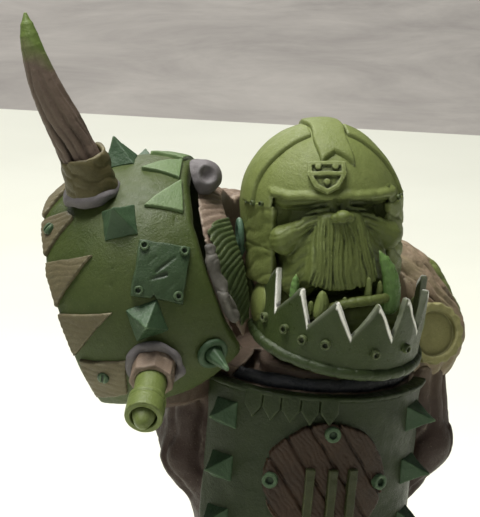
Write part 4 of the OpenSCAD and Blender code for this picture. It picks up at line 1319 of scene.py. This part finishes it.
def make_horn():
    steps = 16
    line = np.array([horn_line(i / steps) for i in range(steps + 1)])
    radii = [HORN_R * math.sqrt(max(0.01, 1 - (i / steps) ** 1.8)) for i in range(steps + 1)]

    def body(q):
        d = np.full(len(q), 1e9, np.float32)
        u = np.zeros(len(q), np.float32)
        for i in range(steps):
            a, b = line[i], line[i + 1]
            bar = limb(q, a, b, radii[i], radii[i + 1])
            e = np.float32(b - a)
            t = np.clip((q - np.float32(a)) @ e / (e @ e), 0, 1)
            here = np.float32(a) + t[:, None] * e
            ang = np.arctan2(q[:, 1] - here[:, 1], q[:, 0] - here[:, 0])
            close = bar < d
            u = np.where(close, ang, u)
            d = np.minimum(d, bar)
        t = np.clip((q[:, 2] - 2.6) / HORN_LEN, 0, 1)
        depth = np.clip(1 - t * 1.05, 0, 1)
        turn = u + 0.9 * t + 0.35 * noise(q, 3.5, 5)
        cuts = groove(turn, 2 * np.pi / 7, 5) + 0.5 * groove(turn * 1.0 + 0.25, 2 * np.pi / 13, 4)
        d = d + 0.42 * cuts * depth ** 0.8 + lumps(q, 0.05, 60)
        ring = groove(q[:, 2] + 0.5 * noise(q, 2, 3), 3.4, 14)
        return smax(d + 0.06 * ring * depth, 4.0 - q[:, 2], 0.2)

    def tint(q):
        return np.clip((q[:, 2] - 17 + 1.5 * noise(q, 2.2, 9) + 0.8 * q[:, 0]) / 2.4, 0, 1)
    clay("horn", [Field(body, (-3.2, -3, 4), (3.2, 7.6, 25.4), HORN, 0.12, tint)], "horn",
         HORNCLAY)

    def collar(q):
        turn = turn_rad(q)
        r = radius(q)
        wide = 3.2 - 0.06 * (q[:, 2] - 1.3)
        top = 5.5 + 0.35 * noise(q, 1.4, 6) + 0.12 * np.cos(5 * turn)
        d = smax(r - wide, np.maximum(q[:, 2] - top, 0.3 - q[:, 2]), 0.3)
        run = q[:, 2] * 0.8 + turn * 1.1 + 0.5 * noise(q, 1.6, 3)
        d += 0.12 * groove(run, 1.5, 3) + 0.16 * noise(q, 1.5, 9)
        bite = smax(r - 2.35, 4.4 - q[:, 2], 0.3)
        return smax(d, -bite, 0.3) + lumps(q, 0.05, 61)
    clay("horn_collar", [Field(collar, (-3.6, -3.6, 0), (3.6, 3.6, 6.4), HORN, 0.12)], "horn",
         COLLAR)


# ---------------------------------------------------------------- plinth

def make_plinth():
    profile = [(-2, 0.1), (16.8, 0.1), (16.8, 2.2), (15.8, 3.3), (12.9, 4.6), (11.9, 7),
               (11.9, 8.9), (13.5, 10.2), (13.5, 11.9), (-2, 11.9)]

    def turned(p):
        r = radius(p)
        d = outline(np.stack([r, p[:, 2]], 1), profile) - 0.1
        for z, w in ((2.7, 0.16), (9.6, 0.14)):
            d += w * np.exp(-((p[:, 2] - z) / 0.22) ** 2)
        d = smax(d, -np.maximum(np.abs(r - 10.6) - 0.15, 11.75 - p[:, 2]), 0.1)
        return d + 0.012 * np.sin(p[:, 2] * 17)
    clay("plinth", [Field(turned, (-17.2, -17.2, -0.1), (17.2, 17.2, 12.2), voxel=0.28)],
         "plinth", WOOD)


def make_wires():
    """The wires keep their CAD shapes, in worn steel."""
    for name in ("turn_pin", "neck_pin", "shoulder_pin", "horn_peg"):
        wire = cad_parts[name]
        wire.data.materials.clear()
        wire.data.materials.append(STEEL)


make_face()
make_jaw()
make_tusks()
make_teeth()
make_helmet()
make_badge()
make_cheek_guards()
make_helmet_trim()
make_jaw_guard()
make_torso()
make_breastplate()
make_plaque()
make_torso_tack()
make_shell()
make_barrel()
make_horn()
make_plinth()
make_wires()

# ---------------------------------------------------------------- stage

VIEW_AZ, VIEW_EL = -12.0, 15.0
VIEW_BACK = 360.0
# what the camera looks at and how wide its picture is there, in mm
TARGET = (-10.11, -5.47, 58.74)
PICTURE_W = 60.0
SENSOR_W = 36
# the paper's far edge: how far behind the bust, in metres, and how far it is turned
PAPER_Y = 0.368
PAPER_TURN = -26.7
PAPER_HALF = 3.0
TABLE_Z = -0.0006
# the middle of the bust, where the near lamps point
LAMP_AIM = (-0.005, -0.005, 0.055)


def make_camera():
    az, el = math.radians(VIEW_AZ), math.radians(VIEW_EL)
    back = np.array([math.sin(az) * math.cos(el), -math.cos(az) * math.cos(el), math.sin(el)])
    data = bpy.data.cameras.new("camera")
    data.sensor_fit = "HORIZONTAL"
    data.sensor_width = SENSOR_W
    data.lens = SENSOR_W * VIEW_BACK / PICTURE_W
    data.clip_start = 0.01
    camera = bpy.data.objects.new("camera", data)
    camera.location = Vector((np.array(TARGET) + back * VIEW_BACK) * MM)
    camera.rotation_euler = Vector(back).to_track_quat("Z", "Y").to_euler()
    bpy.context.scene.collection.objects.link(camera)
    bpy.context.scene.camera = camera


def area_light(name, place, aim, size, watts, colour=(1, 1, 1)):
    data = bpy.data.lights.new(name, "AREA")
    data.size = size
    data.energy = watts
    data.color = colour
    lamp = bpy.data.objects.new(name, data)
    lamp.location = Vector(place)
    lamp.rotation_euler = (Vector(place) - Vector(aim)).to_track_quat("Z", "Y").to_euler()
    bpy.context.scene.collection.objects.link(lamp)


def flat_sheet(name, corners, z, node_set, rough):
    node_set.shader.inputs["Roughness"].default_value = rough
    mesh = bpy.data.meshes.new(name)
    mesh.from_pydata([(x, y, z) for x, y in corners], [], [tuple(range(len(corners)))])
    mesh.materials.append(node_set.material)
    sheet = bpy.data.objects.new(name, mesh)
    bpy.context.scene.collection.objects.link(sheet)


def make_stage():
    """White paper on a mottled table that shows behind the paper's far edge."""
    paper = Nodes("floor_paper")
    tone = paper.spread(paper.noise(0.02, 3, 0.5), 0.3, 0.7)
    paper.link(paper.mix(tone, srgb(228, 229, 216), srgb(222, 223, 210)),
               paper.shader.inputs["Base Color"])
    half = PAPER_HALF
    fall = math.tan(math.radians(PAPER_TURN)) * half
    flat_sheet("floor", [(-half, -half), (half, -half), (half, PAPER_Y + fall),
                         (-half, PAPER_Y - fall)], 0, paper, 0.8)
    table = Nodes("table_plaster")
    patchy = table.spread(table.noise(0.02, 5, 0.7, distortion=0.5), 0.3, 0.7)
    table.link(table.mix(patchy, srgb(180, 175, 168), srgb(150, 145, 140)),
               table.shader.inputs["Base Color"])
    flat_sheet("table", [(-2 * half, -2 * half), (2 * half, -2 * half), (2 * half, 2 * half),
                         (-2 * half, 2 * half)], TABLE_Z, table, 0.9)
    world = bpy.data.worlds.new("world")
    world.use_nodes = True
    world.node_tree.nodes["Background"].inputs["Color"].default_value = (0.93, 0.97, 1.0, 1)
    world.node_tree.nodes["Background"].inputs["Strength"].default_value = 0.1
    bpy.context.scene.world = world
    area_light("key", (-0.08, 0.02, 0.42), LAMP_AIM, 0.2, 2.7, (1.0, 0.99, 0.95))
    area_light("fill", (-0.3, -0.4, 0.3), LAMP_AIM, 0.3, 0.3, (0.96, 0.98, 1.0))
    area_light("far", (-0.1, 0.95, 0.6), (-0.1, 0.85, 0), 0.6, 6.0, (1.0, 0.98, 0.96))
    bpy.context.scene.view_settings.view_transform = "Standard"


make_camera()
make_stage()
